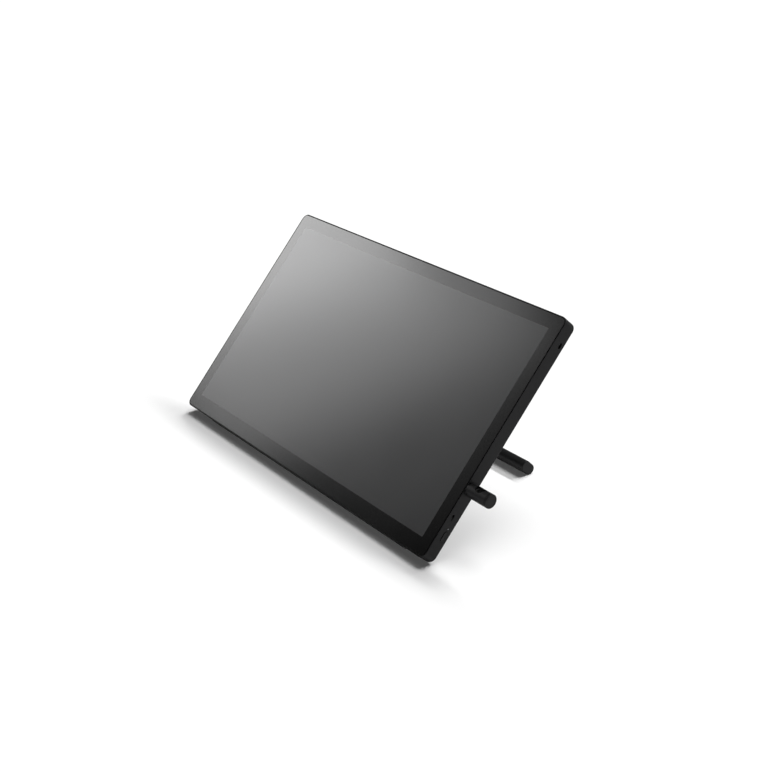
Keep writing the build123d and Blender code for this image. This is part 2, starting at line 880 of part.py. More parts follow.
with BuildPart() as light_pipe:
    with BuildSketch(station(control_board_x)):
        with Locations((lamp_pipe_height, -button_depth)):
            Circle(lamp_pipe_radius)
    extrude(amount=half_width - control_board_x)
    with BuildSketch(station(control_board_x)):
        with Locations((lamp_pipe_height, -button_depth)):
            Circle(lamp_pipe_radius + lamp_flange)
    extrude(amount=2 * lamp_flange)
save(light_pipe, "light_pipe")

# ---- power button: a pill on a flange behind the side wall ----
with BuildPart() as power_button:
    with BuildSketch(station(button_flange_x)):
        with Locations((button_height, -button_depth)):
            SlotOverall(button_length + button_grow, button_width + button_grow)
    extrude(amount=button_flange)
    with BuildSketch(station(button_flange_x)):
        with Locations((button_height, -button_depth)):
            SlotOverall(button_length, button_width)
    extrude(amount=half_width + button_proud - button_flange_x)
    chamfer(power_button.faces().sort_by(Axis.X)[-1].edges(), button_edge)
save(power_button, "power_button")

# ---- touch switch: a small slider in its slot, drawn at its lower stop ----
slider_length = switch_slot_length - switch_travel - 2 * control_gap
slider_width = switch_slot_width - 2 * control_gap - slider_slack
slider_start = control_board_x + 2 * switch_body_floor
slider_height = switch_height - switch_travel / 2
with BuildPart() as switch_slider:
    with BuildSketch(station(slider_start)):
        with Locations((slider_height, -switch_depth)):
            Rectangle(slider_length, slider_width)
    extrude(amount=half_width - slider_sink - slider_start)
    with BuildSketch(station(half_width - slider_sink)):
        for step in (-slider_groove_step, slider_groove_step):
            with Locations((slider_height + step, -switch_depth)):
                Rectangle(slider_groove, 2 * slider_width)
    extrude(amount=-slider_groove_depth, mode=Mode.SUBTRACT)
save(switch_slider, "switch_slider")

# ---- pen holder: a short rod on a spigot, with a cross bore for the pen ----
holder_x = half_width + holder_gap
holder_end = holder_x + holder_length
pen_bore_x = holder_x + pen_bore_offset
bore_plane = Plane(
    origin=station(pen_bore_x).from_local_coords((holder_height, -holder_depth, 0)),
    x_dir=(1, 0, 0),
    z_dir=(0, 0, 1),
)
body_bore = pen_bore_radius + liner_wall
spigot_end = half_width - socket_length - spigot_tail
clip_start = spigot_end + clip_thickness

with BuildPart() as holder_socket:
    with BuildSketch(station(half_width - socket_inset)):
        with Locations((holder_height, -holder_depth)):
            Circle(socket_radius)
            Circle(spigot_radius + running_gap, mode=Mode.SUBTRACT)
    extrude(amount=-socket_length)
save(holder_socket, "holder_socket")

with BuildPart() as holder_body:
    with BuildSketch(station(holder_x)):
        with Locations((holder_height, -holder_depth)):
            Circle(holder_radius)
    extrude(amount=holder_length - holder_cap_length)
    fillet(holder_body.edges().sort_by(Axis.X)[0], holder_foot_round)
    with BuildSketch(station(holder_x)):
        with Locations((holder_height, -holder_depth)):
            Circle(spigot_radius)
    extrude(amount=spigot_end - holder_x)
    with BuildSketch(station(clip_start)):
        with Locations((holder_height, -holder_depth)):
            Circle(spigot_radius + clip_groove_reach)
            Circle(spigot_radius - clip_groove_depth, mode=Mode.SUBTRACT)
    extrude(amount=clip_thickness + 2 * running_gap, mode=Mode.SUBTRACT)
    with BuildSketch(bore_plane.offset(-holder_radius)):
        Circle(body_bore)
    extrude(amount=2 * holder_radius, mode=Mode.SUBTRACT)
    # flared mouths
    flare_depth = holder_radius - liner_length / 2
    for side in (-1, 1):
        with BuildSketch(bore_plane.offset(side * liner_length / 2)):
            Circle(body_bore)
        extrude(amount=side * (flare_depth + flare_overcut), taper=-flare_taper, mode=Mode.SUBTRACT)
save(holder_body, "holder_body")

with BuildPart() as holder_liner:
    with BuildSketch(bore_plane.offset(-liner_length / 2)):
        Circle(body_bore - pilot_gap)
        Circle(pen_bore_radius, mode=Mode.SUBTRACT)
    extrude(amount=liner_length)
save(holder_liner, "holder_liner")

with BuildPart() as holder_cap:
    with BuildSketch(station(holder_end)):
        with Locations((holder_height, -holder_depth)):
            Circle(holder_radius)
    extrude(amount=holder_groove - holder_cap_length)
    chamfer(holder_cap.edges().sort_by(Axis.X)[-1], holder_cap_edge)
    with BuildSketch(station(holder_end - holder_cap_length)):
        with Locations((holder_height, -holder_depth)):
            Circle(holder_radius - holder_groove_depth)
    extrude(amount=holder_groove)
save(holder_cap, "holder_cap")

with BuildPart() as holder_clip:
    with BuildSketch(station(clip_start + running_gap)):
        with Locations((holder_height, -holder_depth)):
            Circle(spigot_radius + clip_reach)
            Circle(spigot_radius - clip_groove_depth + pilot_gap, mode=Mode.SUBTRACT)
        with Locations((holder_height, -holder_depth - spigot_radius)):
            Rectangle(spigot_radius, 2 * spigot_radius, mode=Mode.SUBTRACT)
    extrude(amount=clip_thickness)
save(holder_clip, "holder_clip")

# ---- stand bracket on the back, with a clevis for each arm ----
hinge_depth = back_depth + hinge_standoff
ear_gap = arm_width + 2 * (washer_thickness + washer_gap)
arm_middles = (-arm_spacing / 2, arm_spacing / 2)
ear_sides = (-ear_gap / 2 - ear_thickness, ear_gap / 2)
ear_starts = [x + side for x in arm_middles for side in ear_sides]

with BuildPart() as stand_bracket:
    with BuildSketch(level(back_depth + plate_thickness)):
        with Locations((0, plate_middle)):
            RectangleRounded(plate_width, plate_height, plate_radius)
        with Locations(*plate_screw_spots):
            Circle(plate_screw_radius + pilot_gap, mode=Mode.SUBTRACT)
        with Locations((0, plate_middle - plate_window_drop)):
            RectangleRounded(
                plate_window_width,
                plate_window_height,
                plate_window_radius,
                mode=Mode.SUBTRACT,
            )
    extrude(amount=plate_thickness)
    for x in ear_starts:
        with BuildSketch(station(x)):
            with Locations((hinge_height, -hinge_depth)):
                Circle(eye_radius)
            with Locations((hinge_height, -back_depth - plate_thickness / 2)):
                Rectangle(ear_foot_share * eye_radius, plate_thickness)
            make_hull()
            with Locations((hinge_height, -hinge_depth)):
                Circle(pin_radius + pilot_gap, mode=Mode.SUBTRACT)
        extrude(amount=ear_thickness)
save(stand_bracket, "stand_bracket")

with BuildPart() as plate_inserts:
    with BuildSketch(level(cavity_back)):
        with Locations(*plate_screw_spots):
            Circle(plate_insert_radius)
            Circle(plate_screw_radius + pilot_gap, mode=Mode.SUBTRACT)
    extrude(amount=plate_insert_length)
save(plate_inserts, "plate_inserts")

plate_back = back_depth + plate_thickness
with BuildPart() as plate_screws:
    with BuildSketch(level(plate_back + plate_head_height)):
        with Locations(*plate_screw_spots):
            Circle(plate_head_radius)
    extrude(amount=plate_head_height)
    chamfer(plate_screws.faces().sort_by(glass_axis)[0:4].edges(), plate_head_edge)
    with BuildSketch(level(plate_back)):
        with Locations(*plate_screw_spots):
            Circle(plate_screw_radius)
    extrude(amount=plate_thickness + back_wall + plate_insert_length - plate_screw_gap)
    with BuildSketch(level(plate_back + plate_head_height)):
        with Locations(*plate_screw_spots):
            RegularPolygon(plate_recess_radius, 6)
    extrude(amount=plate_recess_depth, mode=Mode.SUBTRACT)
save(plate_screws, "plate_screws")

# ---- hinge: pins, nuts, friction washers and the barrel between the clevises ----
with BuildPart() as hinge_pins:
    for x in arm_middles:
        outward = 1 if x > 0 else -1
        outer = x + outward * (ear_gap / 2 + ear_thickness)
        inner = x - outward * (ear_gap / 2 + ear_thickness)
        with BuildSketch(station(outer)):
            with Locations((hinge_height, -hinge_depth)):
                Circle(pin_head_radius)
        extrude(amount=outward * pin_head_height)
        with BuildSketch(station(outer)):
            with Locations((hinge_height, -hinge_depth)):
                Circle(pin_radius)
        extrude(amount=inner - outer - outward * (pin_head_height + pin_tail))
    for end in (0, -1):
        chamfer(hinge_pins.faces().filter_by(Axis.X).group_by(Axis.X)[end].edges(), pin_edge)
save(hinge_pins, "hinge_pins")

barrel_end = arm_middles[1] - ear_gap / 2 - ear_thickness
with BuildPart() as hinge_nuts:
    for side in (-1, 1):
        with BuildSketch(station(side * barrel_end)):
            with Locations((hinge_height, -hinge_depth)):
                RegularPolygon(pin_head_radius, 6)
                Circle(pin_radius + pilot_gap, mode=Mode.SUBTRACT)
        extrude(amount=-side * pin_head_height)
save(hinge_nuts, "hinge_nuts")

with BuildPart() as hinge_barrel:
    with BuildSketch(station(-barrel_end)):
        with Locations((hinge_height, -hinge_depth)):
            Circle(eye_radius)
            Circle(eye_radius - barrel_wall, mode=Mode.SUBTRACT)
    extrude(amount=2 * barrel_end)
save(hinge_barrel, "hinge_barrel")

with BuildPart() as friction_washers:
    for x in arm_middles:
        for side in (-1, 1):
            with BuildSketch(station(x + side * ear_gap / 2)):
                with Locations((hinge_height, -hinge_depth)):
                    Circle(eye_radius - washer_inset)
                    Circle(pin_radius + pilot_gap, mode=Mode.SUBTRACT)
            extrude(amount=-side * washer_thickness)
save(friction_washers, "friction_washers")

# ---- rear leg: two arms and a foot bar, drawn along the leg ----
hinge_point = station(0).from_local_coords((hinge_height, -hinge_depth, 0))
sole_radius = bar_thickness / 2
bar_low = sole_radius - sole_flat  # height of the sole round's centre over the desk
lean_c = cos(radians(leg_lean))
lean_s = sin(radians(leg_lean))
leg_reach = (hinge_point.Z - bar_low) / lean_s  # hinge axis to the sole round's centre
leg = Plane(origin=hinge_point, x_dir=(0, lean_c, -lean_s), z_dir=(1, 0, 0))
bar_upper = leg_reach - (bar_width - bar_thickness)
core_radius = sole_radius - sole_thickness
bar_middle = (bar_upper + leg_reach) / 2
sole_start = leg_reach - sole_reach


def bar_outline(radius):
    with Locations((bar_middle, 0)):
        SlotCenterToCenter(leg_reach - bar_upper, 2 * radius)


def sole_outline():
    bar_outline(sole_radius)
    with Locations((sole_start + bar_width / 2, 0)):
        Rectangle(bar_width, 2 * bar_thickness, mode=Mode.INTERSECT)
    with Locations((bar_middle, 0)):
        SlotCenterToCenter(leg_reach - bar_upper, 2 * core_radius, mode=Mode.SUBTRACT)


arm_screw_sides = (-arm_screw_offset, arm_screw_offset)
arm_screw_spots = [(x + side, 0) for x in arm_middles for side in arm_screw_sides]
across_leg = Plane(
    origin=leg.from_local_coords((leg_reach + core_radius, 0, 0)),
    x_dir=(1, 0, 0),
    z_dir=-leg.x_dir,
)

core_length = bar_length - 2 * end_cap_length
with BuildPart() as foot_bar:
    with BuildSketch(leg.offset(-core_length / 2)):
        bar_outline(sole_radius)
        with Locations((sole_start - bar_width / 2, 0)):
            Rectangle(bar_width, 2 * bar_thickness, mode=Mode.INTERSECT)
        bar_outline(core_radius)
    extrude(amount=core_length)
    with BuildSketch(across_leg):
        with Locations(*arm_screw_spots):
            Circle(plate_head_radius + pilot_gap)
    extrude(amount=plate_head_height, mode=Mode.SUBTRACT)
    with BuildSketch(across_leg):
        with Locations(*arm_screw_spots):
            Circle(arm_screw_radius + pilot_gap)
    extrude(amount=bar_width, mode=Mode.SUBTRACT)
save(foot_bar, "foot_bar")

with BuildPart() as foot_sole:
    with BuildSketch(leg.offset(-core_length / 2)):
        sole_outline()
    extrude(amount=core_length)
    split(bisect_by=Plane.XY, keep=Keep.TOP)
save(foot_sole, "foot_sole")

for side, name in ((-1, "foot_cap_left"), (1, "foot_cap_right")):
    with BuildPart() as foot_cap:
        with BuildSketch(leg.offset(side * core_length / 2)):
            bar_outline(sole_radius)
        extrude(amount=side * end_cap_length)
        outer_face = foot_cap.faces().filter_by(Axis.X).sort_by(Axis.X)[-1 if side > 0 else 0]
        fillet(outer_face.edges(), end_cap_round)
        split(bisect_by=Plane.XY, keep=Keep.TOP)
    save(foot_cap, name)

for x, name in zip(arm_middles, ("arm_left", "arm_right")):
    with BuildPart() as arm:
        with BuildSketch(leg.offset(x - arm_width / 2)):
            Circle(eye_radius)
            with Locations((bar_upper / 2, 0)):
                Rectangle(bar_upper, arm_thickness)
            Circle(bush_radius + pilot_gap, mode=Mode.SUBTRACT)
            with Locations((bar_upper, 0)):
                Circle(sole_radius + pilot_gap, mode=Mode.SUBTRACT)
        extrude(amount=arm_width)
        with BuildSketch(across_leg):
            with Locations(*((x + side, 0) for side in arm_screw_sides)):
                Circle(arm_screw_radius + pilot_gap)
        extrude(amount=plate_head_height + arm_screw_length + arm_pilot_gap, mode=Mode.SUBTRACT)
    save(arm, name)

with BuildPart() as arm_bushes:
    for x in arm_middles:
        with BuildSketch(leg.offset(x - arm_width / 2)):
            Circle(bush_radius)
            Circle(pin_radius + running_gap, mode=Mode.SUBTRACT)
        extrude(amount=arm_width)
save(arm_bushes, "arm_bushes")

with BuildPart() as arm_screws:
    with BuildSketch(across_leg):
        with Locations(*arm_screw_spots):
            Circle(plate_head_radius)
    extrude(amount=plate_head_height)
    with BuildSketch(across_leg):
        with Locations(*arm_screw_spots):
            Circle(arm_screw_radius)
    extrude(amount=plate_head_height + arm_screw_length)
    with BuildSketch(leg.offset(-core_length / 2)):
        bar_outline(core_radius)
        with Locations((bar_upper / 2, 0)):
            Rectangle(bar_upper, 2 * core_radius)
    extrude(amount=core_length, mode=Mode.INTERSECT)
save(arm_screws, "arm_screws")

# ---- rubber: bumpers that the folded bar lies on, and the front foot ----
bumper_height = hinge_standoff - sole_radius - bumper_gap
bumper_y = bottom_edge + bevel_inset + bumper_inset
with BuildPart() as leg_bumpers:
    with BuildSketch(level(back_depth + bumper_height)):
        with Locations(*((side * bar_length * bumper_share, bumper_y) for side in (-1, 1))):
            RectangleRounded(bumper_length, bumper_width, bumper_width / 3)
    extrude(amount=bumper_height)
    chamfer(leg_bumpers.faces().sort_by(glass_axis)[0:2].edges(), bumper_edge)
save(leg_bumpers, "leg_bumpers")

bevel_length = sqrt(bevel_inset**2 + bevel_step**2)
front_dir = Vector(*in_world(0, 1))
rear_dir = Vector(*in_world(bevel_inset / bevel_length, -bevel_step / bevel_length))
corner = Vector(0, foot_drop)
front_out = Vector(*in_world(-1, 0))
rear_out = Vector(rear_dir.Y, -rear_dir.X)
with BuildPart() as front_foot:
    with BuildSketch(Plane.YZ.offset(-foot_length / 2)):
        with BuildLine():
            Polyline(
                corner,
                corner + front_dir * foot_front,
                corner + front_dir * foot_front + front_out * foot_height,
                Vector(-foot_land_front, 0),
                Vector(foot_land_rear, 0),
                corner + rear_dir * foot_rear + rear_out * foot_height,
                corner + rear_dir * foot_rear,
                close=True,
            )
        make_face()
    extrude(amount=foot_length)
save(front_foot, "front_foot")

holder_point = station(holder_x).from_local_coords((holder_height, -holder_depth, 0))
sole_point = leg.from_local_coords((leg_reach, 0, 0))
print("hinge", hinge_point, "leg reach", round(leg_reach, 3), "sole line y", round(sole_point.Y, 3))
print("holder axis", holder_point, "bore", bore_plane.origin, "bore way", bore_plane.z_dir)
print("glass origin", glass_origin, "half width", half_width, "lock height", lock_height)
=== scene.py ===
import json
import math

import bmesh
import bpy
from mathutils import Matrix, Vector


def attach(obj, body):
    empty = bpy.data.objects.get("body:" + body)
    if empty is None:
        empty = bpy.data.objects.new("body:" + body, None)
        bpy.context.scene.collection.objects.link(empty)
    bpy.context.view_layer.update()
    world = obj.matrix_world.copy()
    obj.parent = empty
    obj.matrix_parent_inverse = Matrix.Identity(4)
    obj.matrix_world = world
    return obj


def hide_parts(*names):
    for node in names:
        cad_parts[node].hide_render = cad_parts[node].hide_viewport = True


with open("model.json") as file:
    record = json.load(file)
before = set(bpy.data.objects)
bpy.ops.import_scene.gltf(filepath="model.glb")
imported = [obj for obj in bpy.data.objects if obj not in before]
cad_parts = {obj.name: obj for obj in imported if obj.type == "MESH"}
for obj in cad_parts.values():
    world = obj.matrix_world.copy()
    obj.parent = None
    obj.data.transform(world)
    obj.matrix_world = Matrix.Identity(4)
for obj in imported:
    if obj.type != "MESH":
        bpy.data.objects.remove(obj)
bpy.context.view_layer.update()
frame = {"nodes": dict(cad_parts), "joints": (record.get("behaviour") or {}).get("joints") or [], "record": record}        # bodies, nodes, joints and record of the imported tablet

scene = bpy.context.scene
joints = {joint["name"]: joint for joint in frame["joints"]}
mounts = {mount["name"]: mount for mount in frame["record"]["mounts"]}


# the tablet's own frames, in millimetres: x, y, z as each note says
millimetre = 0.001
upGlass = Vector(joints["touch_slide"]["axis"]).normalized()
outOfGlass = Vector((1, 0, 0)).cross(upGlass)


# lowest and highest millimetre of a node along a direction
def reach(nodeName, direction):
    values = [v.co.dot(direction) / millimetre for v in frame["nodes"][nodeName].data.vertices]
    return min(values), max(values)


def makeFrame(origin, xAxis, yAxis, zAxis):
    turn = Matrix((xAxis, yAxis, zAxis)).transposed().to_4x4()
    return Matrix.Translation(origin) @ turn @ Matrix.Scale(millimetre, 4)


glassBottom = reach("front_glass", upGlass)[0]
glassFace = reach("front_glass", outOfGlass)[1]
glassOrigin = (upGlass * glassBottom + outOfGlass * glassFace) * millimetre
right = Vector((1, 0, 0))
glassFrame = makeFrame(glassOrigin, right, upGlass, outOfGlass)          # right, up, out of the glass
backFrame = makeFrame(glassOrigin, -right, upGlass, -outOfGlass)         # left, up, out of the back
rightFrame = makeFrame(glassOrigin, upGlass, outOfGlass, right)          # up, out of the glass, right
leftFrame = makeFrame(glassOrigin, upGlass, -outOfGlass, -right)         # up, into the glass, left


# camera: stands to the right and above, where its whole frame is filled by the floor
cameraSetting = {
    "aim": (0.02771, 0.10946, 0.10543),
    "azimuth": 52.724,
    "elevation": 23.726,
    "distance": 1.6139,
    "lens": 61.414,
    "sensor": 36.0,
}


def standBack(azimuth, elevation):
    a, e = math.radians(azimuth), math.radians(elevation)
    return Vector((math.sin(a) * math.cos(e), -math.cos(a) * math.cos(e), math.sin(e)))


def makeCamera(setting):
    data = bpy.data.cameras.new("studioCamera")
    camera = bpy.data.objects.new("studioCamera", data)
    scene.collection.objects.link(camera)
    back = standBack(setting["azimuth"], setting["elevation"])
    data.sensor_width = setting["sensor"]
    data.lens = setting["lens"]
    data.clip_start = 0.05
    data.clip_end = 60
    camera.location = Vector(setting["aim"]) + back * setting["distance"]
    camera.rotation_euler = (-back).to_track_quat("-Z", "Y").to_euler()
    scene.camera = camera


makeCamera(cameraSetting)
print("camera placed")


# a node with its settings and its inputs, each a value or a link
def addNode(tree, kind, inputs=None, **settings):
    node = tree.nodes.new(kind)
    for name, value in settings.items():
        setattr(node, name, value)
    for name, value in (inputs or {}).items():
        socket = node.inputs[name]
        if isinstance(value, bpy.types.NodeSocket):
            tree.links.new(value, socket)
        else:
            socket.default_value = value
    return node


# a new material, its tree, its shader and its object coordinates
def startFinish(name, **constants):
    finish = bpy.data.materials.new(name)
    finish.use_nodes = True
    tree = finish.node_tree
    shader = tree.nodes["Principled BSDF"]
    for label, value in constants.items():
        shader.inputs[label].default_value = value
    where = addNode(tree, "ShaderNodeTexCoord").outputs["Object"]
    return finish, tree, shader, where


# noise whose grains are about size metres across
def noise(tree, where, size, detail=2.0, roughness=0.5):
    return addNode(tree, "ShaderNodeTexNoise", {
        "Vector": where, "Scale": 1 / size, "Detail": detail, "Roughness": roughness,
    }).outputs["Fac"]


def ranged(tree, value, low, high, fromLow=0.3, fromHigh=0.7):
    return addNode(tree, "ShaderNodeMapRange", {
        "Value": value, "From Min": fromLow, "From Max": fromHigh, "To Min": low, "To Max": high,
    }).outputs["Result"]


def mixed(tree, factor, first, second):
    node = addNode(tree, "ShaderNodeMix", data_type="RGBA")
    for socket, value in ((node.inputs[0], factor), (node.inputs[6], first), (node.inputs[7], second)):
        if isinstance(value, bpy.types.NodeSocket):
            tree.links.new(value, socket)
        else:
            socket.default_value = value
    return node.outputs[2]


def calc(tree, operation, first, second):
    return addNode(tree, "ShaderNodeMath", {0: first, 1: second}, operation=operation).outputs[0]


def bumpOn(tree, shader, height, distance, strength):
    bump = addNode(tree, "ShaderNodeBump", {"Height": height, "Distance": distance, "Strength": strength})
    tree.links.new(bump.outputs["Normal"], shader.inputs["Normal"])


def tint(colour, share):
    return tuple(min(1.0, part * share) for part in colour[:3]) + (1.0,)


# moulded, cast or coated surface: fine grain, slow blotches in tone and gloss, worn high grains
def grainedFinish(name, colour, roughness, grain, depth, blotch=0.04, spread=0.12, strength=0.35, **constants):
    finish, tree, shader, where = startFinish(name, **constants)
    fine = noise(tree, where, grain, 3.0, 0.62)
    slow = noise(tree, where, blotch, 4.0, 0.55)
    tone = mixed(tree, slow, tint(colour, 1 - spread), tint(colour, 1 + spread))
    peaks = ranged(tree, fine, 0.0, 0.35, 0.58, 0.78)
    worn = mixed(tree, peaks, tone, tint(colour, 1.9))
    tree.links.new(worn, shader.inputs["Base Color"])
    gloss = ranged(tree, fine, roughness - 0.05, roughness + 0.05)
    rough = calc(tree, "ADD", gloss, ranged(tree, slow, -0.03, 0.03))
    tree.links.new(rough, shader.inputs["Roughness"])
    bumpOn(tree, shader, fine, depth, strength)
    return finish


# metal with fine draw lines along one direction
def brushedFinish(name, colour, roughness, stretch, **constants):
    finish, tree, shader, where = startFinish(name, Metallic=1.0, **constants)
    mapping = addNode(tree, "ShaderNodeMapping", {"Vector": where, "Scale": stretch})
    lines = noise(tree, mapping.outputs["Vector"], 0.004, 4.0, 0.6)
    slow = noise(tree, where, 0.02, 2.0)
    tone = mixed(tree, lines, tint(colour, 0.82), tint(colour, 1.12))
    dulled = mixed(tree, ranged(tree, slow, 0.0, 0.25), tone, tint(colour, 0.7))
    tree.links.new(dulled, shader.inputs["Base Color"])
    tree.links.new(ranged(tree, lines, roughness - 0.08, roughness + 0.1), shader.inputs["Roughness"])
    bumpOn(tree, shader, lines, 0.00002, 0.3)
    return finish


# turned metal: faint rings and dull spots
def turnedFinish(name, colour, roughness):
    finish, tree, shader, where = startFinish(name, Metallic=1.0)
    rings = addNode(tree, "ShaderNodeTexWave", {
        "Vector": where, "Scale": 900.0, "Distortion": 3.0, "Detail": 2.0,
    }, wave_type="RINGS").outputs["Fac"]
    spots = noise(tree, where, 0.0015, 3.0)
    tone = mixed(tree, spots, tint(colour, 0.75), tint(colour, 1.1))
    tree.links.new(tone, shader.inputs["Base Color"])
    tree.links.new(calc(tree, "ADD", ranged(tree, spots, roughness - 0.06, roughness + 0.1),
                        calc(tree, "MULTIPLY", rings, 0.06)), shader.inputs["Roughness"])
    bumpOn(tree, shader, rings, 0.00001, 0.25)
    return finish


# printed board: tracks under the mask, small solder dots
def boardFinish(name, mask, track, pitch):
    finish, tree, shader, where = startFinish(name, **{"Coat Weight": 0.4, "Coat Roughness": 0.25})
    cells = addNode(tree, "ShaderNodeTexVoronoi", {
        "Vector": where, "Scale": 1 / pitch,
    }, feature="F1", distance="MANHATTAN").outputs["Distance"]
    runs = addNode(tree, "ShaderNodeTexBrick", {
        "Vector": where, "Scale": 0.35 / pitch, "Mortar Size": 0.03, "Color1": tint(mask, 0.85),
        "Color2": tint(mask, 1.15), "Mortar": tint(track, 1.0),
    }).outputs["Color"]
    dots = ranged(tree, cells, 1.0, 0.0, 0.06, 0.1)
    tone = mixed(tree, dots, runs, (0.6, 0.6, 0.58, 1))
    tree.links.new(tone, shader.inputs["Base Color"])
    tree.links.new(ranged(tree, noise(tree, where, 0.003), 0.32, 0.5), shader.inputs["Roughness"])
    bumpOn(tree, shader, dots, 0.00003, 0.4)
    return finish


# film with fine parallel conductors
def linedFinish(name, colour, other, pitch, roughness, **constants):
    finish, tree, shader, where = startFinish(name, **constants)
    lines = addNode(tree, "ShaderNodeTexWave", {
        "Vector": where, "Scale": 0.5 / pitch, "Distortion": 0.0,
    }, bands_direction="X").outputs["Fac"]
    tree.links.new(mixed(tree, ranged(tree, lines, 0.0, 1.0, 0.4, 0.6), tint(colour, 1.0), tint(other, 1.0)),
                   shader.inputs["Base Color"])
    tree.links.new(ranged(tree, noise(tree, where, 0.004), roughness - 0.05, roughness + 0.05),
                   shader.inputs["Roughness"])
    bumpOn(tree, shader, lines, 0.00002, 0.3)
    return finish


# finishes, named for what they are on this tablet
shellTone = (0.011, 0.011, 0.0117)
dull = {"Specular IOR Level": 0.16}
finishes = {
    "shellPlastic": grainedFinish("shellPlastic", shellTone, 0.56, 0.0006, 0.00003, 0.06, 0.05, **dull),
    "holderPlastic": grainedFinish("holderPlastic", (0.012, 0.012, 0.0127), 0.52, 0.0005, 0.000025,
                                   0.03, **dull),
    "keyPlastic": grainedFinish("keyPlastic", (0.014, 0.014, 0.0147), 0.46, 0.0004, 0.00002, 0.02, **dull),
    "capPlastic": grainedFinish("capPlastic", (0.013, 0.013, 0.0137), 0.5, 0.0005, 0.00002, 0.02, **dull),
    "standCoat": grainedFinish("standCoat", (0.012, 0.012, 0.0125), 0.5, 0.0009, 0.00006, 0.05,
                               strength=0.5, **dull),
    "footRubber": grainedFinish("footRubber", (0.009, 0.009, 0.009), 0.68, 0.0008, 0.00005, 0.03, 0.2, 0.5),
    "innerPrint": grainedFinish("innerPrint", (0.005, 0.005, 0.0052), 0.55, 0.0003, 0.00001, 0.02),
    "nylon": grainedFinish("nylon", (0.02, 0.02, 0.021), 0.5, 0.0007, 0.00003, 0.02),
    "chipResin": grainedFinish("chipResin", (0.016, 0.016, 0.018), 0.5, 0.0003, 0.00002, 0.01),
    "padPutty": grainedFinish("padPutty", (0.3, 0.32, 0.35), 0.7, 0.0006, 0.00005, 0.01),
    "whiteFilm": grainedFinish("whiteFilm", (0.8, 0.81, 0.82), 0.45, 0.0004, 0.00001, 0.05, 0.03),
    "cellGlass": grainedFinish("cellGlass", (0.02, 0.02, 0.023), 0.15, 0.0003, 0.000002, 0.06),
    "clearAcrylic": grainedFinish("clearAcrylic", (0.6, 0.63, 0.66), 0.16, 0.002, 0.000005, 0.02, 0.04,
                                  **{"Transmission Weight": 0.6}),
    "screwOxide": turnedFinish("screwOxide", (0.045, 0.045, 0.05), 0.36),
    "platedSteel": brushedFinish("platedSteel", (0.55, 0.56, 0.58), 0.3, (1.0, 8.0, 8.0)),
    "pressedAluminium": brushedFinish("pressedAluminium", (0.7, 0.71, 0.72), 0.35, (1.0, 6.0, 6.0)),
    "insertBrass": turnedFinish("insertBrass", (0.62, 0.42, 0.16), 0.32),
    "greenBoard": boardFinish("greenBoard", (0.015, 0.1, 0.045), (0.03, 0.16, 0.07), 0.004),
    "amberRibbon": linedFinish("amberRibbon", (0.42, 0.17, 0.025), (0.5, 0.28, 0.08), 0.0008, 0.35),
    "ventWeave": linedFinish("ventWeave", (0.004, 0.004, 0.004), (0.02, 0.02, 0.02), 0.0009, 0.7),
}


# etched cover glass over black print, or over the dark cell, whose fine rows show up close
def glassFinish(name, colour, speckle, roughness, pitch=None):
    finish, tree, shader, where = startFinish(name, **{"IOR": 1.5})
    slow = noise(tree, where, 0.11, 3.0, 0.5)
    tone = mixed(tree, slow, tint(colour, 1 - speckle), tint(colour, 1 + speckle))
    if pitch:
        rows = addNode(tree, "ShaderNodeTexWave", {"Vector": where, "Scale": 0.5 / pitch}).outputs["Fac"]
        tone = mixed(tree, ranged(tree, rows, 0.0, 0.12, 0.0, 1.0), tone, tint(colour, 0.4))
    tree.links.new(tone, shader.inputs["Base Color"])
    tree.links.new(ranged(tree, slow, roughness - 0.012, roughness + 0.012), shader.inputs["Roughness"])
    bumpOn(tree, shader, noise(tree, where, 0.0004, 1.0), 0.000004, 0.1)
    return finish


finishes["etchedBorder"] = glassFinish("etchedBorder", (0.002, 0.002, 0.0021), 0.1, 0.216)
finishes["etchedScreen"] = glassFinish("etchedScreen", (0.082, 0.0825, 0.0842), 0.02, 0.238, 0.00025)
print("finishes ready:", len(finishes))


# everything is drawn in one of the frames above, then set in place
# skins a row of equal rings of points
def loft(mesh, rings, closed=False):
    rows = [[mesh.verts.new(point) for point in ring] for ring in rings]
    count = len(rows[0])
    pairs = list(zip(rows, rows[1:])) + ([(rows[-1], rows[0])] if closed else [])
    for near, far in pairs:
        for i in range(count):
            mesh.faces.new((near[i], near[(i + 1) % count], far[(i + 1) % count], far[i]))
    if not closed:
        mesh.faces.new(rows[0][::-1])
        mesh.faces.new(rows[-1])


# outline of a slot whose overall length runs along x, then turned by angle
def stadium(length, width, steps=8, angle=0.0):
    radius = width / 2
    half = length / 2 - width / 2
    points = []
    for side, start in ((1, -90), (-1, 90)):
        for i in range(steps + 1):
            a = math.radians(start + 180 * i / steps)
            points.append(Vector((side * half + radius * math.cos(a), radius * math.sin(a))))
    turn = Matrix.Rotation(angle, 2)
    return [turn @ point for point in points]


def roundRect(width, height, radius, steps=8):
    points = []
    for cornerX, cornerY, start in ((1, -1, -90), (1, 1, 0), (-1, 1, 90), (-1, -1, 180)):
        middleX, middleY = cornerX * (width / 2 - radius), cornerY * (height / 2 - radius)
        for i in range(steps + 1):
            a = math.radians(start + 90 * i / steps)
            points.append(Vector((middleX + radius * math.cos(a), middleY + radius * math.sin(a))))
    return points


def circle(radius, steps=48):
    return [Vector((radius * math.cos(a), radius * math.sin(a)))
            for a in (2 * math.pi * i / steps for i in range(steps))]


def lifted(outline, z, shiftX=0.0, shiftY=0.0):
    return [Vector((p.x + shiftX, p.y + shiftY, z)) for p in outline]


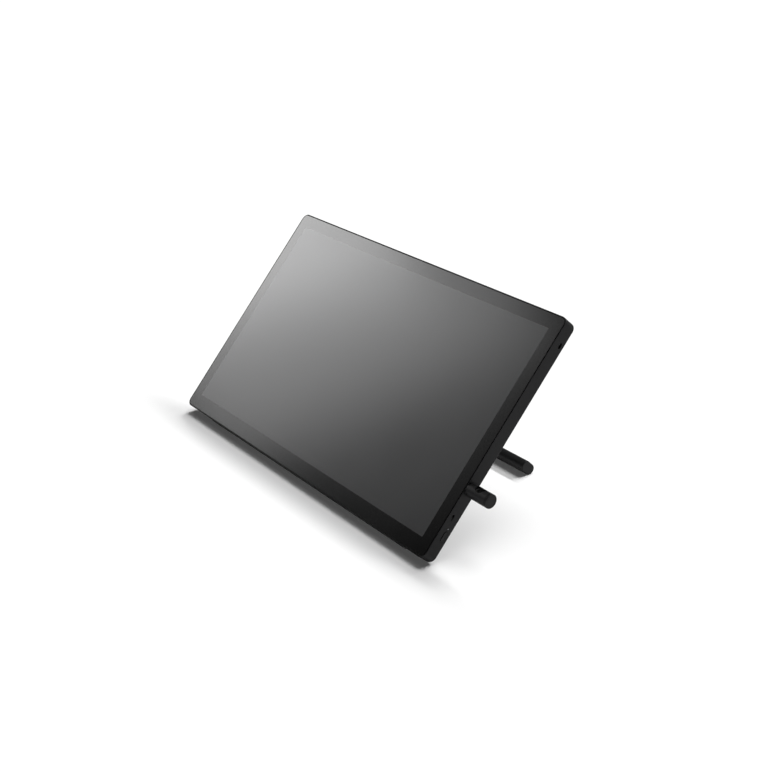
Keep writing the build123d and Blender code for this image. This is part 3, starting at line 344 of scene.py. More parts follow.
# rings of a plate from low to high: outline(inset), with both edges rounded
def roundedStack(outline, low, high, edge, steps=4):
    rings = []
    for i in range(steps + 1):
        a = math.pi / 2 * i / steps
        rings.append(lifted(outline(edge * (1 - math.sin(a))), low + edge * (1 - math.cos(a))))
    for i in range(steps + 1):
        a = math.pi / 2 * i / steps
        rings.append(lifted(outline(edge * (1 - math.cos(a))), high - edge * (1 - math.sin(a))))
    return rings


# closes a bmesh into an object at the origin, with its place in its mesh
def newPiece(name, mesh, place, finish, smoothAngle=32):
    bmesh.ops.remove_doubles(mesh, verts=mesh.verts, dist=1e-5)
    bmesh.ops.recalc_face_normals(mesh, faces=mesh.faces)
    data = bpy.data.meshes.new(name)
    mesh.to_mesh(data)
    mesh.free()
    if place is not None:
        data.transform(place)
    piece = bpy.data.objects.new(name, data)
    scene.collection.objects.link(piece)
    data.materials.append(finishes[finish])
    smooth(piece, smoothAngle)
    return piece


def smooth(piece, angle=32):
    data = piece.data
    data.polygons.foreach_set("use_smooth", [True] * len(data.polygons))
    data.set_sharp_from_angle(angle=math.radians(angle))
    data.update()
    if not any(m.type == "WEIGHTED_NORMAL" for m in piece.modifiers):
        weighted = piece.modifiers.new("evenFaces", "WEIGHTED_NORMAL")
        weighted.keep_sharp = True


def standFor(piece, body, slotName, *nodes):
    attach(piece, body)
    if nodes:
        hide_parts(*nodes)
    return piece


# a merged copy of a node, its flat faces whole again and its edges eased
def copyOf(nodeName, pieceName, finish, edge=0.0, steps=2):
    mesh = bmesh.new()
    mesh.from_mesh(frame["nodes"][nodeName].data)
    bmesh.ops.remove_doubles(mesh, verts=mesh.verts, dist=2e-6)
    bmesh.ops.dissolve_limit(mesh, angle_limit=math.radians(1.0), verts=mesh.verts, edges=mesh.edges)
    data = bpy.data.meshes.new(pieceName)
    mesh.to_mesh(data)
    mesh.free()
    data.materials.clear()
    data.materials.append(finishes[finish])
    piece = bpy.data.objects.new(pieceName, data)
    scene.collection.objects.link(piece)
    if edge:
        bevel = piece.modifiers.new("easedEdges", "BEVEL")
        bevel.width = edge * millimetre
        bevel.segments = steps
        bevel.limit_method = "ANGLE"
        bevel.angle_limit = math.radians(40)
        bevel.use_clamp_overlap = True
        bevel.miter_outer = "MITER_ARC"
    smooth(piece, 35)
    return piece


# a tree with named inputs, each given as name: (kind, value)
def startTree(name, wanted):
    tree = bpy.data.node_groups.new(name, "GeometryNodeTree")
    tree.interface.new_socket("Geometry", in_out="INPUT", socket_type="NodeSocketGeometry")
    for label, (kind, value) in wanted.items():
        socket = tree.interface.new_socket(label, in_out="INPUT", socket_type="NodeSocket" + kind)
        if value is not None:
            socket.default_value = value
    tree.interface.new_socket("Geometry", in_out="OUTPUT", socket_type="NodeSocketGeometry")
    return tree, tree.nodes.new("NodeGroupInput"), tree.nodes.new("NodeGroupOutput")


# every tree ends in real geometry with its finish set
def endTree(tree, geometry, given, end):
    real = addNode(tree, "GeometryNodeRealizeInstances", {"Geometry": geometry})
    painted = addNode(tree, "GeometryNodeSetMaterial", {
        "Geometry": real.outputs[0], "Material": given.outputs["Finish"],
    })
    tree.links.new(painted.outputs[0], end.inputs[0])


# runs a tree on a piece and keeps the result as its plain mesh
def grow(piece, tree, values):
    modifier = piece.modifiers.new(tree.name, "NODES")
    modifier.node_group = tree
    for item in tree.interface.items_tree:
        if item.item_type == "SOCKET" and item.in_out == "INPUT" and item.name in values:
            modifier[item.identifier] = values[item.name]
    piece.update_tag()
    bpy.context.view_layer.update()
    evaluated = piece.evaluated_get(bpy.context.evaluated_depsgraph_get())
    data = bpy.data.meshes.new_from_object(evaluated)
    piece.modifiers.remove(modifier)
    old = piece.data
    piece.data = data
    bpy.data.meshes.remove(old)
    return piece


# a bare row of points for a tree to work on
def pointsPiece(name, points):
    data = bpy.data.meshes.new(name)
    data.from_pydata([tuple(p) for p in points], [], [])
    piece = bpy.data.objects.new(name, data)
    scene.collection.objects.link(piece)
    return piece


# countersunk or raised heads with a six-sided recess, one on each point, each turned its own way
def buildScrewTree():
    tree, given, end = startTree("screwHeads", {
        "Head radius": ("Float", 2.5), "Neck radius": ("Float", 1.3), "Head height": ("Float", 1.2),
        "Edge": ("Float", 0.2), "Recess radius": ("Float", 1.2), "Recess depth": ("Float", 0.8),
        "Seed": ("Int", 7), "Finish": ("Material", None),
    })
    read = given.outputs
    flat = calc(tree, "SUBTRACT", read["Head radius"], read["Edge"])
    body = calc(tree, "SUBTRACT", read["Head height"], read["Edge"])
    cone = addNode(tree, "GeometryNodeMeshCone", {
        "Vertices": 40, "Radius Top": read["Head radius"], "Radius Bottom": read["Neck radius"], "Depth": body,
    }, fill_type="NGON")
    crown = addNode(tree, "GeometryNodeMeshCone", {
        "Vertices": 40, "Radius Top": flat, "Radius Bottom": read["Head radius"], "Depth": read["Edge"],
    }, fill_type="NGON")
    crownUp = addNode(tree, "ShaderNodeCombineXYZ", {"Z": body}).outputs[0]
    crownSet = addNode(tree, "GeometryNodeTransform", {
        "Geometry": crown.outputs["Mesh"], "Translation": crownUp,
    })
    whole = addNode(tree, "GeometryNodeMeshBoolean", operation="UNION", solver="EXACT")
    tree.links.new(cone.outputs["Mesh"], whole.inputs[1])
    tree.links.new(crownSet.outputs[0], whole.inputs[1])
    hexTool = addNode(tree, "GeometryNodeMeshCylinder", {
        "Vertices": 6, "Radius": read["Recess radius"], "Depth": read["Recess depth"],
    })
    hexUp = addNode(tree, "ShaderNodeCombineXYZ", {"Z": read["Head height"]}).outputs[0]
    hexSet = addNode(tree, "GeometryNodeTransform", {
        "Geometry": hexTool.outputs["Mesh"], "Translation": hexUp, "Scale": (1, 1, 2),
    })
    cut = addNode(tree, "GeometryNodeMeshBoolean", {0: whole.outputs[0], 1: hexSet.outputs[0]},
                  operation="DIFFERENCE", solver="EXACT")
    spin = addNode(tree, "FunctionNodeRandomValue", {
        "Min": (0, 0, 0), "Max": (0, 0, 2 * math.pi), "Seed": read["Seed"],
    }, data_type="FLOAT_VECTOR")
    placed = addNode(tree, "GeometryNodeInstanceOnPoints", {
        "Points": given.outputs[0], "Instance": cut.outputs[0], "Rotation": spin.outputs[0],
    })
    endTree(tree, placed.outputs[0], given, end)
    return tree


# takes one cutter, and a second one repeated on a grid, out of a closed shell
def buildCutTree():
    tree, given, end = startTree("openings", {
        "Cutter": ("Object", None), "Grid cutter": ("Object", None), "Columns": ("Int", 1), "Rows": ("Int", 1),
        "Column pitch": ("Float", 5.0), "Row pitch": ("Float", 20.0), "Middle": ("Vector", (0, 0, 0)),
        "Finish": ("Material", None),
    })
    read = given.outputs
    single = addNode(tree, "GeometryNodeObjectInfo", {"Object": read["Cutter"]})
    repeated = addNode(tree, "GeometryNodeObjectInfo", {"Object": read["Grid cutter"]})
    wide = calc(tree, "MULTIPLY", calc(tree, "SUBTRACT", read["Columns"], 1.0), read["Column pitch"])
    tall = calc(tree, "MULTIPLY", calc(tree, "SUBTRACT", read["Rows"], 1.0), read["Row pitch"])
    grid = addNode(tree, "GeometryNodeMeshGrid", {
        "Size X": wide, "Size Y": tall, "Vertices X": read["Columns"], "Vertices Y": read["Rows"],
    })
    moved = addNode(tree, "GeometryNodeTransform", {
        "Geometry": grid.outputs["Mesh"], "Translation": read["Middle"],
    })
    field = addNode(tree, "GeometryNodeInstanceOnPoints", {
        "Points": moved.outputs[0], "Instance": repeated.outputs["Geometry"],
    })
    solid = addNode(tree, "GeometryNodeRealizeInstances", {"Geometry": field.outputs[0]})
    cut = addNode(tree, "GeometryNodeMeshBoolean", {0: read["Geometry"]},
                  operation="DIFFERENCE", solver="EXACT")
    tree.links.new(single.outputs["Geometry"], cut.inputs[1])
    tree.links.new(solid.outputs[0], cut.inputs[1])
    endTree(tree, cut.outputs[0], given, end)
    return tree


screwTree = buildScrewTree()
cutTree = buildCutTree()


# lowest and highest corner of a node in one of the frames, in millimetres
def spanOf(nodeName, place):
    back = place.inverted()
    points = [back @ v.co for v in frame["nodes"][nodeName].data.vertices]
    return (Vector(min(p[i] for p in points) for i in range(3)),
            Vector(max(p[i] for p in points) for i in range(3)))


def middleOf(nodeName, place):
    low, high = spanOf(nodeName, place)
    return (low + high) / 2


def setInPlace(piece, place):
    piece.data.transform(place)
    piece.data.update()


def fromRight(point):
    return Vector((point.z, point.x, point.y))


def fromLeft(point):
    return Vector((-point.z, point.x, -point.y))


def fromBack(point):
    return Vector((-point.x, point.y, -point.z))


# a cutter with a flared mouth, so that its hole has an eased edge; outline(grow) gives its shape
def addCutter(mesh, outline, middle, surface, deep, edge, turn):
    over = 0.6
    rings = [
        [turn(p) for p in lifted(outline(edge + over), surface + over, *middle)],
        [turn(p) for p in lifted(outline(0.0), surface - edge, *middle)],
        [turn(p) for p in lifted(outline(0.0), surface - deep, *middle)],
    ]
    loft(mesh, rings)


def cutterPiece(name, mesh):
    bmesh.ops.recalc_face_normals(mesh, faces=mesh.faces)
    data = bpy.data.meshes.new(name)
    mesh.to_mesh(data)
    mesh.free()
    piece = bpy.data.objects.new(name, data)
    scene.collection.objects.link(piece)
    return piece


# housing: one shell of side faces, sloping band and back, with its openings cut by the tree
housing = {
    "rim": 0.6, "rimRound": 0.35, "ledge": 1.42,
    "sideDepth": 18.2, "bandInset": 11.5, "bandStep": 4.0, "bandRound": 1.3,
    "radius": 8.5, "backRadius": 4.25, "wall": 2.4, "backWall": 2.0, "cornerSteps": 14,
    "lock": (7.0, 3.0), "switchSlot": (7.2, 2.4), "socketRadius": 6.45, "lampRadius": 0.85,
    "key": (12.0, 4.0), "keyGap": 0.3, "port": (9.24, 3.56), "portHalf": 4.47, "ports": 3, "holeEdge": 0.35,
    "sideRound": 1.2, "innerRadius": 2.5, "innerShare": 0.62, "pastWall": 1.5,
    "screwHead": 2.5, "screwHole": 1.3, "screwSink": 1.25, "insertRadius": 2.9, "insertHole": 2.05,
    "ventColumns": 27, "ventRows": 2, "ventPitch": 5.0, "ventRowPitch": 20.0, "vent": (15.0, 1.8),
}


# points of an arc that eases one corner of a profile
def bendRound(before, corner, after, radius, steps=5):
    a, b = (before - corner).normalized(), (after - corner).normalized()
    half = a.angle(b) / 2
    tangent = radius / math.tan(half)
    middle = corner + (a + b).normalized() * radius / math.sin(half)
    start, stop = corner + a * tangent - middle, corner + b * tangent - middle
    points = []
    for i in range(steps + 1):
        share = i / steps
        blend = start.lerp(stop, share).normalized() * radius
        points.append(middle + blend)
    return points


def makeHousing(given):
    low, high = spanOf("rear_cover", glassFrame)
    width, height = high.x - low.x, high.y - low.y
    middleY = (low.y + high.y) / 2
    back = -low.z
    straight, cavity = given["sideDepth"] - given["sideRound"], back - given["backWall"]
    slope = given["bandInset"] / given["bandStep"]
    innerInset = given["wall"] + (cavity - straight) * slope
    opening = given["rim"]
    front, side, band, rear = (Vector(p) for p in (
        (0.0, 0.0), (0.0, given["sideDepth"]), (given["bandInset"], back), (width / 2 - 30, back)))
    profile = [(innerInset, cavity, "inner"), (given["wall"], straight, "inner"),
               (given["wall"], given["ledge"], "inner"), (opening, given["ledge"], "outer"),
               (opening, 0.22, "outer"), (opening - 0.07, 0.07, "outer"), (opening - 0.22, 0.0, "outer")]
    rimPoints = bendRound(Vector((given["wall"], 0.0)), front, side, given["rimRound"])
    bandPoints = bendRound(front, side, band, given["bandRound"])
    rearPoints = bendRound(side, band, rear, given["bandRound"])
    profile += [(p.x, p.y, "outer") for p in rimPoints]
    profile += [(p.x, p.y, "band") for p in bandPoints + rearPoints]
    rings = []
    for inset, depth, zone in profile:
        if zone == "band":
            radius = given["radius"] - inset * (given["radius"] - given["backRadius"]) / given["bandInset"]
        elif zone == "outer":
            radius = given["radius"] - inset
        else:
            radius = max(given["innerRadius"], given["radius"] - inset * given["innerShare"])
        outline = roundRect(width - 2 * inset, height - 2 * inset, radius, given["cornerSteps"])
        rings.append(lifted(outline, -depth, 0.0, middleY))
    mesh = bmesh.new()
    loft(mesh, rings)
    shell = newPiece("housingShell", mesh, None, "shellPlastic")
    shell.modifiers.clear()

    halfWidth = high.x
    cutters = bmesh.new()
    deep, edge = given["wall"] + given["pastWall"], given["holeEdge"]
    lock = glassFrame.inverted() @ Vector(mounts["lock_slot"]["pos_m"])
    key = middleOf("power_button", glassFrame)
    slider = middleOf("switch_slider", glassFrame)
    lamp = middleOf("light_pipe", glassFrame)
    holder = glassFrame.inverted() @ Vector(joints["holder_turn"]["pos_m"])
    travel = joints["touch_slide"]["range_m"][1] / millimetre
    gap = given["keyGap"]
    keySize = tuple(size + 2 * gap for size in given["key"])
    for size, up, out in ((given["lock"], lock.y, lock.z), (keySize, key.y, key.z),
                          (given["switchSlot"], slider.y + travel / 2, slider.z)):
        addCutter(cutters, lambda g, s=size: stadium(s[0] + 2 * g, s[1] + 2 * g), (up, out),
                  halfWidth, deep, edge, fromRight)
    addCutter(cutters, lambda g: circle(given["lampRadius"] + g, 20), (lamp.y, lamp.z), halfWidth, deep, 0.1,
              fromRight)
    addCutter(cutters, lambda g: circle(given["socketRadius"] + g, 48), (holder.y, holder.z), halfWidth, deep,
              0.2, fromRight)
    portLow, portHigh = spanOf("port_shells", glassFrame)
    firstPort, lastPort = portLow.y + given["portHalf"], portHigh.y - given["portHalf"]
    for i in range(given["ports"]):
        up = firstPort + (lastPort - firstPort) * i / (given["ports"] - 1)
        addCutter(cutters, lambda g: stadium(given["port"][0] + 2 * g, given["port"][1] + 2 * g),
                  (up, -(portLow.z + portHigh.z) / 2), -low.x, deep, edge, fromLeft)
    screwLow, screwHigh = spanOf("cover_screws", glassFrame)
    for x in coverScrewColumns(screwLow, screwHigh):
        for y in (screwLow.y + given["screwHead"], screwHigh.y - given["screwHead"]):
            addCutter(cutters, lambda g: circle(given["screwHole"] + g, 32), (-x, y), back, deep,
                      given["screwSink"], fromBack)
    plateLow, plateHigh = spanOf("plate_inserts", glassFrame)
    insert = given["insertRadius"]
    for x in (plateLow.x + insert, plateHigh.x - insert):
        for y in (plateLow.y + insert, plateHigh.y - insert):
            addCutter(cutters, lambda g: circle(given["insertHole"] + g, 24), (-x, y), back, deep,
                      0.1, fromBack)
    cutterSet = cutterPiece("cutterSet", cutters)
    ventMesh = bmesh.new()
    ventLength, ventWidth = given["vent"]
    addCutter(ventMesh, lambda g: stadium(ventLength + 2 * g, ventWidth + 2 * g, 6, angle=math.pi / 2),
              (0.0, 0.0), 0.0, given["backWall"] + 1.0, 0.3, fromBack)
    ventCutter = cutterPiece("ventCutter", ventMesh)
    vents = middleOf("vent_screen", glassFrame)
    grow(shell, cutTree, {
        "Cutter": cutterSet, "Grid cutter": ventCutter, "Columns": given["ventColumns"],
        "Rows": given["ventRows"], "Column pitch": given["ventPitch"], "Row pitch": given["ventRowPitch"],
        "Middle": (vents.x, vents.y, -back), "Finish": finishes["shellPlastic"],
    })
    for tool in (cutterSet, ventCutter):
        bpy.data.objects.remove(tool)
    setInPlace(shell, glassFrame)
    smooth(shell, 28)
    return standFor(shell, "tablet", "housing_black", "rear_cover")


def coverScrewColumns(low, high):
    outer = high.x - housing["screwHead"]
    return (-outer, -outer / 3, outer / 3, outer)


makeHousing(housing)
print("housing made")

# cover glass: one etched plate, print border and dark screen area as its two faces
glass = {"edge": 0.25, "radius": 6.5, "screenCorner": 0.35, "steps": 12}


def makeGlass(given):
    low, high = spanOf("front_glass", glassFrame)
    screenLow, screenHigh = spanOf("bonding_film", glassFrame)
    middleY = (low.y + high.y) / 2
    width, height = high.x - low.x, high.y - low.y

    def outline(inset):
        shape = roundRect(width - 2 * inset, height - 2 * inset, given["radius"] - inset, given["steps"])
        return [Vector((p.x, p.y + middleY)) for p in shape]

    rings = roundedStack(outline, low.z, high.z, given["edge"])
    screenSize = screenHigh - screenLow
    screen = roundRect(screenSize.x, screenSize.y, given["screenCorner"], given["steps"])
    rings.append(lifted(screen, high.z, 0.0, (screenLow.y + screenHigh.y) / 2))
    mesh = bmesh.new()
    loft(mesh, rings)
    mesh.faces.ensure_lookup_table()
    mesh.faces[-1].material_index = 1
    piece = newPiece("coverGlass", mesh, glassFrame, "etchedBorder")
    piece.data.materials.append(finishes["etchedScreen"])
    return standFor(piece, "tablet", "cover_glass", "front_glass")


makeGlass(glass)
print("cover glass made")

# pen holder: rod, end cap and sleeve, drawn along the rod from the side face
holderFrame = makeFrame(Vector(joints["holder_turn"]["pos_m"]), upGlass, outOfGlass, right)
holder = {
    "radius": 8.4, "rodEnd": 30.6, "end": 33.2, "foot": 1.0, "boreRadius": 6.1,
    "flareStart": 5.5, "flareSlope": 0.2126, "spigotRadius": 4.5, "spigotEnd": -9.0, "neckRadius": 7.8,
    "groove": 0.5, "edge": 0.7, "capEasing": 0.15,
    "sleeveInner": 5.2, "sleeveHalf": 5.5, "sleeveGrooves": 4, "steps": 72,
}


# rings of a turned piece from (radius, along) pairs
def lathe(mesh, profile, steps, turn=None):
    rings = [lifted(circle(radius, steps), along) for radius, along in profile]
    if turn:
        rings = [[turn(p) for p in ring] for ring in rings]
    loft(mesh, rings)


# a quarter round of a lathe profile about (radius, along)
def arcPoints(radius, along, size, start, stop, steps=5):
    return [(radius + size * math.cos(math.radians(start + (stop - start) * i / steps)),
             along + size * math.sin(math.radians(start + (stop - start) * i / steps)))
            for i in range(steps + 1)]


# a turned shape laid along the bore, which stands upright at rest
def acrossRod():
    axis = Vector(mounts["pen_bore"]["axis"])
    rise, lean = axis.dot(upGlass), axis.dot(outOfGlass)
    middle = (mounts["pen_bore"]["pos_m"][0] - joints["holder_turn"]["pos_m"][0]) / millimetre
    return lambda p: Vector((p.z * rise - p.y * lean, p.z * lean + p.y * rise, middle - p.x))


def makeHolder(given):
    r, foot = given["radius"], given["foot"]
    spigot = given["spigotRadius"]
    mesh = bmesh.new()
    lathe(mesh, [(spigot - 0.3, given["spigotEnd"]), (spigot, given["spigotEnd"] + 0.3),
                 (spigot, given["spigotEnd"] + 0.8), (spigot - 0.9, given["spigotEnd"] + 0.8),
                 (spigot - 0.9, given["spigotEnd"] + 1.7), (spigot, given["spigotEnd"] + 1.7), (spigot, 0.0)]
          + arcPoints(r - foot, foot, foot, -90, 0) + [(r, given["rodEnd"] - 0.2),
                                                       (r - 0.2, given["rodEnd"])], given["steps"])
    rod = newPiece("holderRod", mesh, None, "holderPlastic")
    rod.modifiers.clear()
    tool = bmesh.new()
    reachOut = 10.0
    flare = given["boreRadius"] + (reachOut - given["flareStart"]) * given["flareSlope"]
    lathe(tool, [(flare, -reachOut), (given["boreRadius"], -given["flareStart"]),
                 (given["boreRadius"], given["flareStart"]), (flare, reachOut)], given["steps"], acrossRod())
    cutter = cutterPiece("boreCutter", tool)
    empty = cutterPiece("noCutter", bmesh.new())
    grow(rod, cutTree, {"Cutter": cutter, "Grid cutter": empty, "Finish": finishes["holderPlastic"]})
    for item in (cutter, empty):
        bpy.data.objects.remove(item)
    setInPlace(rod, holderFrame)
    smooth(rod, 30)
    standFor(rod, "pen_holder", "holder_black", "holder_body")

    mesh = bmesh.new()
    end, edge = given["end"], given["edge"]
    neck, start, easing = given["neckRadius"], given["rodEnd"], given["capEasing"]
    step = start + given["groove"]
    lathe(mesh, [(neck, start), (neck, step), (r - easing, step), (r, step + easing)]
          + arcPoints(r - edge, end - edge, edge, 0, 90)
          + [(6.3, end), (6.2, end - 0.15), (5.9, end - 0.15), (5.8, end)], given["steps"])
    cap = newPiece("holderEnd", mesh, holderFrame, "holderPlastic", 25)
    standFor(cap, "pen_holder", "holder_black", "holder_cap")

    mesh = bmesh.new()
    outer, inner, half = given["boreRadius"] - 0.05, given["sleeveInner"], given["sleeveHalf"]
    profile = [(outer, -half), (outer, half), (inner + 0.25, half), (inner, half - 0.25)]
    pitch = 2 * half / (given["sleeveGrooves"] + 1)
    for i in range(given["sleeveGrooves"]):
        z = half - pitch * (i + 1)
        profile += [(inner, z + 0.5), (inner + 0.3, z + 0.3), (inner + 0.3, z - 0.3), (inner, z - 0.5)]
    profile += [(inner, 0.25 - half), (inner + 0.25, -half)]
    turn = acrossRod()
    rings = [[turn(p) for p in lifted(circle(radius, given["steps"]), along)] for radius, along in profile]
    loft(mesh, rings, closed=True)
    sleeve = newPiece("holderSleeve", mesh, holderFrame, "footRubber")
    standFor(sleeve, "pen_holder", "rubber", "holder_liner")


makeHolder(holder)
print("pen holder made")

# right side controls
controls = {"keyRound": 0.45, "flange": 0.8, "flangeGrow": 0.8}


def makeKey(given):
    low, high = spanOf("power_button", rightFrame)
    middle = (low + high) / 2
    length, width = housing["key"]

    def outline(inset):
        shape = stadium(length - 2 * inset, width - 2 * inset, 10)
        return [Vector((p.x + middle.x, p.y + middle.y)) for p in shape]

    flangeTop = low.z + given["flange"]
    rings = [lifted(outline(-given["flangeGrow"]), low.z), lifted(outline(-given["flangeGrow"]), flangeTop),
             lifted(outline(0.0), flangeTop), lifted(outline(0.0), high.z - given["keyRound"])]
    for i in range(1, 6):
        a = math.pi / 2 * i / 5
        size = given["keyRound"]
        rings.append(lifted(outline(size * (1 - math.cos(a))), high.z - size * (1 - math.sin(a))))
    rings.append(lifted(outline(0.9), high.z - 0.02))
    rings.append(lifted(outline(1.4), high.z - 0.1))
    mesh = bmesh.new()
    loft(mesh, rings)
    piece = newPiece("powerKey", mesh, rightFrame, "keyPlastic", 40)
    standFor(piece, "power_button", "control_black", "power_button")


makeKey(controls)
standFor(copyOf("switch_slider", "touchSlider", "keyPlastic", 0.1), "touch_switch", "control_black",
         "switch_slider")
print("controls made")

# screws
screws = {
    "cover": {"Head radius": 2.5, "Neck radius": 1.35, "Head height": 1.2, "Edge": 0.06,
              "Recess radius": 1.25, "Recess depth": 0.85, "Seed": 3},
    "plate": {"Head radius": 3.6, "Neck radius": 3.6, "Head height": 2.4, "Edge": 0.45,
              "Recess radius": 1.45, "Recess depth": 1.5, "Seed": 11},
}


def makeScrews(nodeName, pieceName, kind, columns):
    low, high = spanOf(nodeName, backFrame)
    given = screws[kind]
    head = given["Head radius"]
    spots = [(x, y, high.z - given["Head height"])
             for x in columns(low, high, head) for y in (low.y + head, high.y - head)]
    piece = pointsPiece(pieceName, spots)
    grow(piece, screwTree, dict(given, Finish=finishes["screwOxide"]))
    setInPlace(piece, backFrame)
    smooth(piece, 30)
    standFor(piece, "tablet", "black_steel", nodeName)


makeScrews("cover_screws", "coverScrews", "cover", lambda low, high, head: coverScrewColumns(low, high))
makeScrews("plate_screws", "plateScrews", "plate", lambda low, high, head: (low.x + head, high.x - head))
print("screws made")

# stand and rubber: merged copies with eased edges
easedCopies = (
    # node, piece, body, slot, finish, edge in millimetres
    ("stand_bracket", "standBracket", "tablet", "stand_black", "standCoat", 0.5),
    ("hinge_pins", "hingePins", "tablet", "black_steel", "screwOxide", 0.15),
    ("hinge_nuts", "hingeNuts", "tablet", "black_steel", "screwOxide", 0.3),
    ("hinge_barrel", "hingeBarrel", "tablet", "stand_black", "standCoat", 0.2),
    ("friction_washers", "frictionWashers", "tablet", "bare_steel", "platedSteel", 0.1),
    ("arm_left", "armLeft", "rear_leg", "stand_black", "standCoat", 0.6),
    ("arm_right", "armRight", "rear_leg", "stand_black", "standCoat", 0.6),
    ("arm_bushes", "armBushes", "rear_leg", "socket_nylon", "nylon", 0.15),
    ("arm_screws", "armScrews", "rear_leg", "black_steel", "screwOxide", 0.2),
    ("foot_bar", "footBar", "rear_leg", "stand_black", "standCoat", 0.25),
    ("foot_sole", "footSole", "rear_leg", "rubber", "footRubber", 0.2),
    ("foot_cap_left", "footCapLeft", "rear_leg", "cap_black", "capPlastic", 0.15),
    ("foot_cap_right", "footCapRight", "rear_leg", "cap_black", "capPlastic", 0.15),
    ("leg_bumpers", "legBumpers", "tablet", "rubber", "footRubber", 0.3),
    ("front_foot", "frontFoot", "tablet", "rubber", "footRubber", 0.25),
    ("port_shells", "portShells", "tablet", "bare_steel", "platedSteel", 0.08),
    ("port_tongues", "portTongues", "tablet", "chip_black", "chipResin", 0.08),
    ("lock_plate", "lockPlate", "tablet", "bare_steel", "platedSteel", 0.1),
    ("light_pipe", "lightPipe", "tablet", "clear_acrylic", "clearAcrylic", 0.1),
)
for nodeName, pieceName, body, slotName, finish, edge in easedCopies:
    standFor(copyOf(nodeName, pieceName, finish, edge), body, slotName, nodeName)
print("stand and rubber made")

# pieces inside keep their shape and take a finish
insideFinishes = {
    "border_mask": "innerPrint", "bonding_film": "clearAcrylic", "glass_tape": "innerPrint",
    "lcd_panel": "cellGlass", "diffuser_sheets": "whiteFilm", "light_guide": "clearAcrylic",
    "reflector_sheet": "whiteFilm", "lamp_strip": "greenBoard", "backlight_lamps": "whiteFilm",
    "backlight_pan": "pressedAluminium", "sensor_board": "greenBoard", "shield_sheet": "platedSteel",
    "chassis": "pressedAluminium", "cover_inserts": "insertBrass", "main_board": "greenBoard",
    "power_board": "greenBoard", "board_screws": "platedSteel", "processor_chips": "chipResin",
    "thermal_pads": "padPutty", "heat_spreader": "pressedAluminium", "shield_can": "platedSteel",
    "power_coils": "chipResin", "panel_ribbon": "amberRibbon", "sensor_ribbon": "amberRibbon",
    "vent_screen": "ventWeave", "control_board": "greenBoard", "board_blocks": "shellPlastic",
    "tact_switch": "chipResin", "switch_body": "chipResin", "holder_socket": "nylon",
    "holder_clip": "platedSteel", "plate_inserts": "insertBrass",
}
for nodeName, finish in insideFinishes.items():
    data = frame["nodes"][nodeName].data
    data.materials.clear()
    data.materials.append(finishes[finish])
print("inside finished")

# floor and light
studio = {
    "floorHalf": 12.0, "floorTone": (0.82, 0.82, 0.82), "floorRough": 0.9,
    "sunTurns": (-24, -16, -8, 0, 8, 16, 24), "sunProfile": 46.5, "sunAngle": 5.0, "sunPower": 2.7,
    "fillPower": 0.49, "fillAngle": 40.0, "highProfile": 70.0, "highAngle": 30.0, "highPower": 1.69,
    "skyTone": (0.01, 0.01, 0.01), "skySeen": (1.0, 1.0, 1.0),
}
# soft cards on the left that show in the glass: azimuth from -X towards -Y, elevation, size, radiance
cards = {
    "narrowCard": {"azimuth": 29.5, "elevation": 29.3, "size": (0.302, 0.857), "radiance": 2.92},
    "wideCard": {"azimuth": 7.8, "elevation": 23.3, "size": (0.753, 0.753), "radiance": 7.34},
}
cardDistance = 1.5


def makeFloor(given):
    mesh = bmesh.new()
    half = given["floorHalf"]
    corners = ((-half, -half), (half, -half), (half, half), (-half, half))
    mesh.faces.new([mesh.verts.new((x, y, 0)) for x, y in corners])
    data = bpy.data.meshes.new("studioFloor")
    mesh.to_mesh(data)
    mesh.free()
    floor = bpy.data.objects.new("studioFloor", data)
    scene.collection.objects.link(floor)
    finish, tree, shader, where = startFinish("floorPaint")
    slow = noise(tree, where, 0.5, 2.0)
    tree.links.new(mixed(tree, slow, tint(given["floorTone"], 0.995), tint(given["floorTone"], 1.005)),
                   shader.inputs["Base Color"])
    shader.inputs["Roughness"].default_value = given["floorRough"]
    shader.inputs["Specular IOR Level"].default_value = 0.0
    data.materials.append(finish)
    return floor


def aimLight(light, place, target):
    light.location = place
    light.rotation_euler = (Vector(target) - Vector(place)).to_track_quat("-Z", "Y").to_euler()


def addLight(name, kind, power, place, target, **settings):
    data = bpy.data.lights.new(name, kind)
    data.energy = power
    for key, value in settings.items():
        setattr(data, key, value)
    light = bpy.data.objects.new(name, data)
    scene.collection.objects.link(light)
    aimLight(light, place, target)
    light.visible_camera = False
    return light


# a light-linking set that holds the floor alone
def linkTo(floor, name, state):
    group = bpy.data.collections.new(name)
    group.objects.link(floor)
    group.collection_objects[0].light_linking.link_state = state
    return group


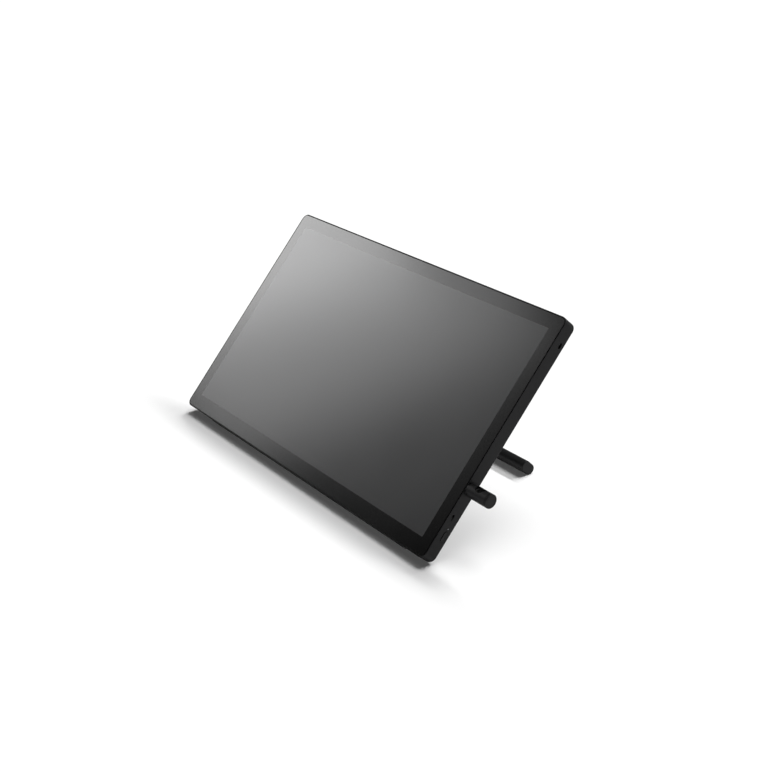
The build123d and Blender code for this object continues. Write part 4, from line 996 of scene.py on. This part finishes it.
# the cards light the tablet alone, the fill and the high sun the floor alone, so each keeps its own tone
def makeCards(floor):
    middle = glassFrame @ Vector((0, 152, 0))
    floorLess = linkTo(floor, "withoutFloor", "EXCLUDE")
    fill = addLight("floorFill", "SUN", studio["fillPower"], (0, 0, 3), (0, 0, 0),
                    angle=math.radians(studio["fillAngle"]), use_shadow=False)
    high = addLight("floorSun", "SUN", studio["highPower"], standBack(180, studio["highProfile"]) * 3,
                    (0, 0, 0), angle=math.radians(studio["highAngle"]))
    floorOnly = linkTo(floor, "floorOnly", "INCLUDE")
    for light in (fill, high):
        light.light_linking.receiver_collection = floorOnly
    for name, card in cards.items():
        turn, rise = math.radians(card["azimuth"]), math.radians(card["elevation"])
        way = Vector((-math.cos(rise) * math.cos(turn), -math.cos(rise) * math.sin(turn), math.sin(rise)))
        wide, tall = card["size"]
        light = addLight(name, "AREA", card["radiance"] * math.pi * wide * tall, middle + way * cardDistance,
                         middle, shape="RECTANGLE", size=wide, size_y=tall)
        light.light_linking.receiver_collection = floorLess


# a band of soft suns from behind: all throw the shadow the same way forward, whatever their turn
def makeLights(given):
    for turn in given["sunTurns"]:
        slope = math.tan(math.radians(given["sunProfile"])) * math.cos(math.radians(turn))
        rise = math.degrees(math.atan(slope))
        addLight(f"backSun{turn}", "SUN", given["sunPower"] / len(given["sunTurns"]),
                 standBack(180 + turn, rise) * 3, (0, 0, 0), angle=math.radians(given["sunAngle"]))
    world = bpy.data.worlds.new("studioSky")
    scene.world = world
    world.use_nodes = True
    tree = world.node_tree
    background = tree.nodes["Background"]
    background.inputs["Color"].default_value = (*given["skyTone"], 1)
    seen = addNode(tree, "ShaderNodeBackground", {"Color": (*given["skySeen"], 1)})
    path = addNode(tree, "ShaderNodeLightPath")
    choice = addNode(tree, "ShaderNodeMixShader", {0: path.outputs["Is Camera Ray"]})
    tree.links.new(background.outputs[0], choice.inputs[1])
    tree.links.new(seen.outputs[0], choice.inputs[2])
    tree.links.new(choice.outputs[0], tree.nodes["World Output"].inputs["Surface"])
    scene.view_settings.view_transform = "Standard"
    scene.view_settings.look = "None"


makeCards(makeFloor(studio))
makeLights(studio)
print("studio lit")

# bring every object's placement up to date
bpy.context.view_layer.update()
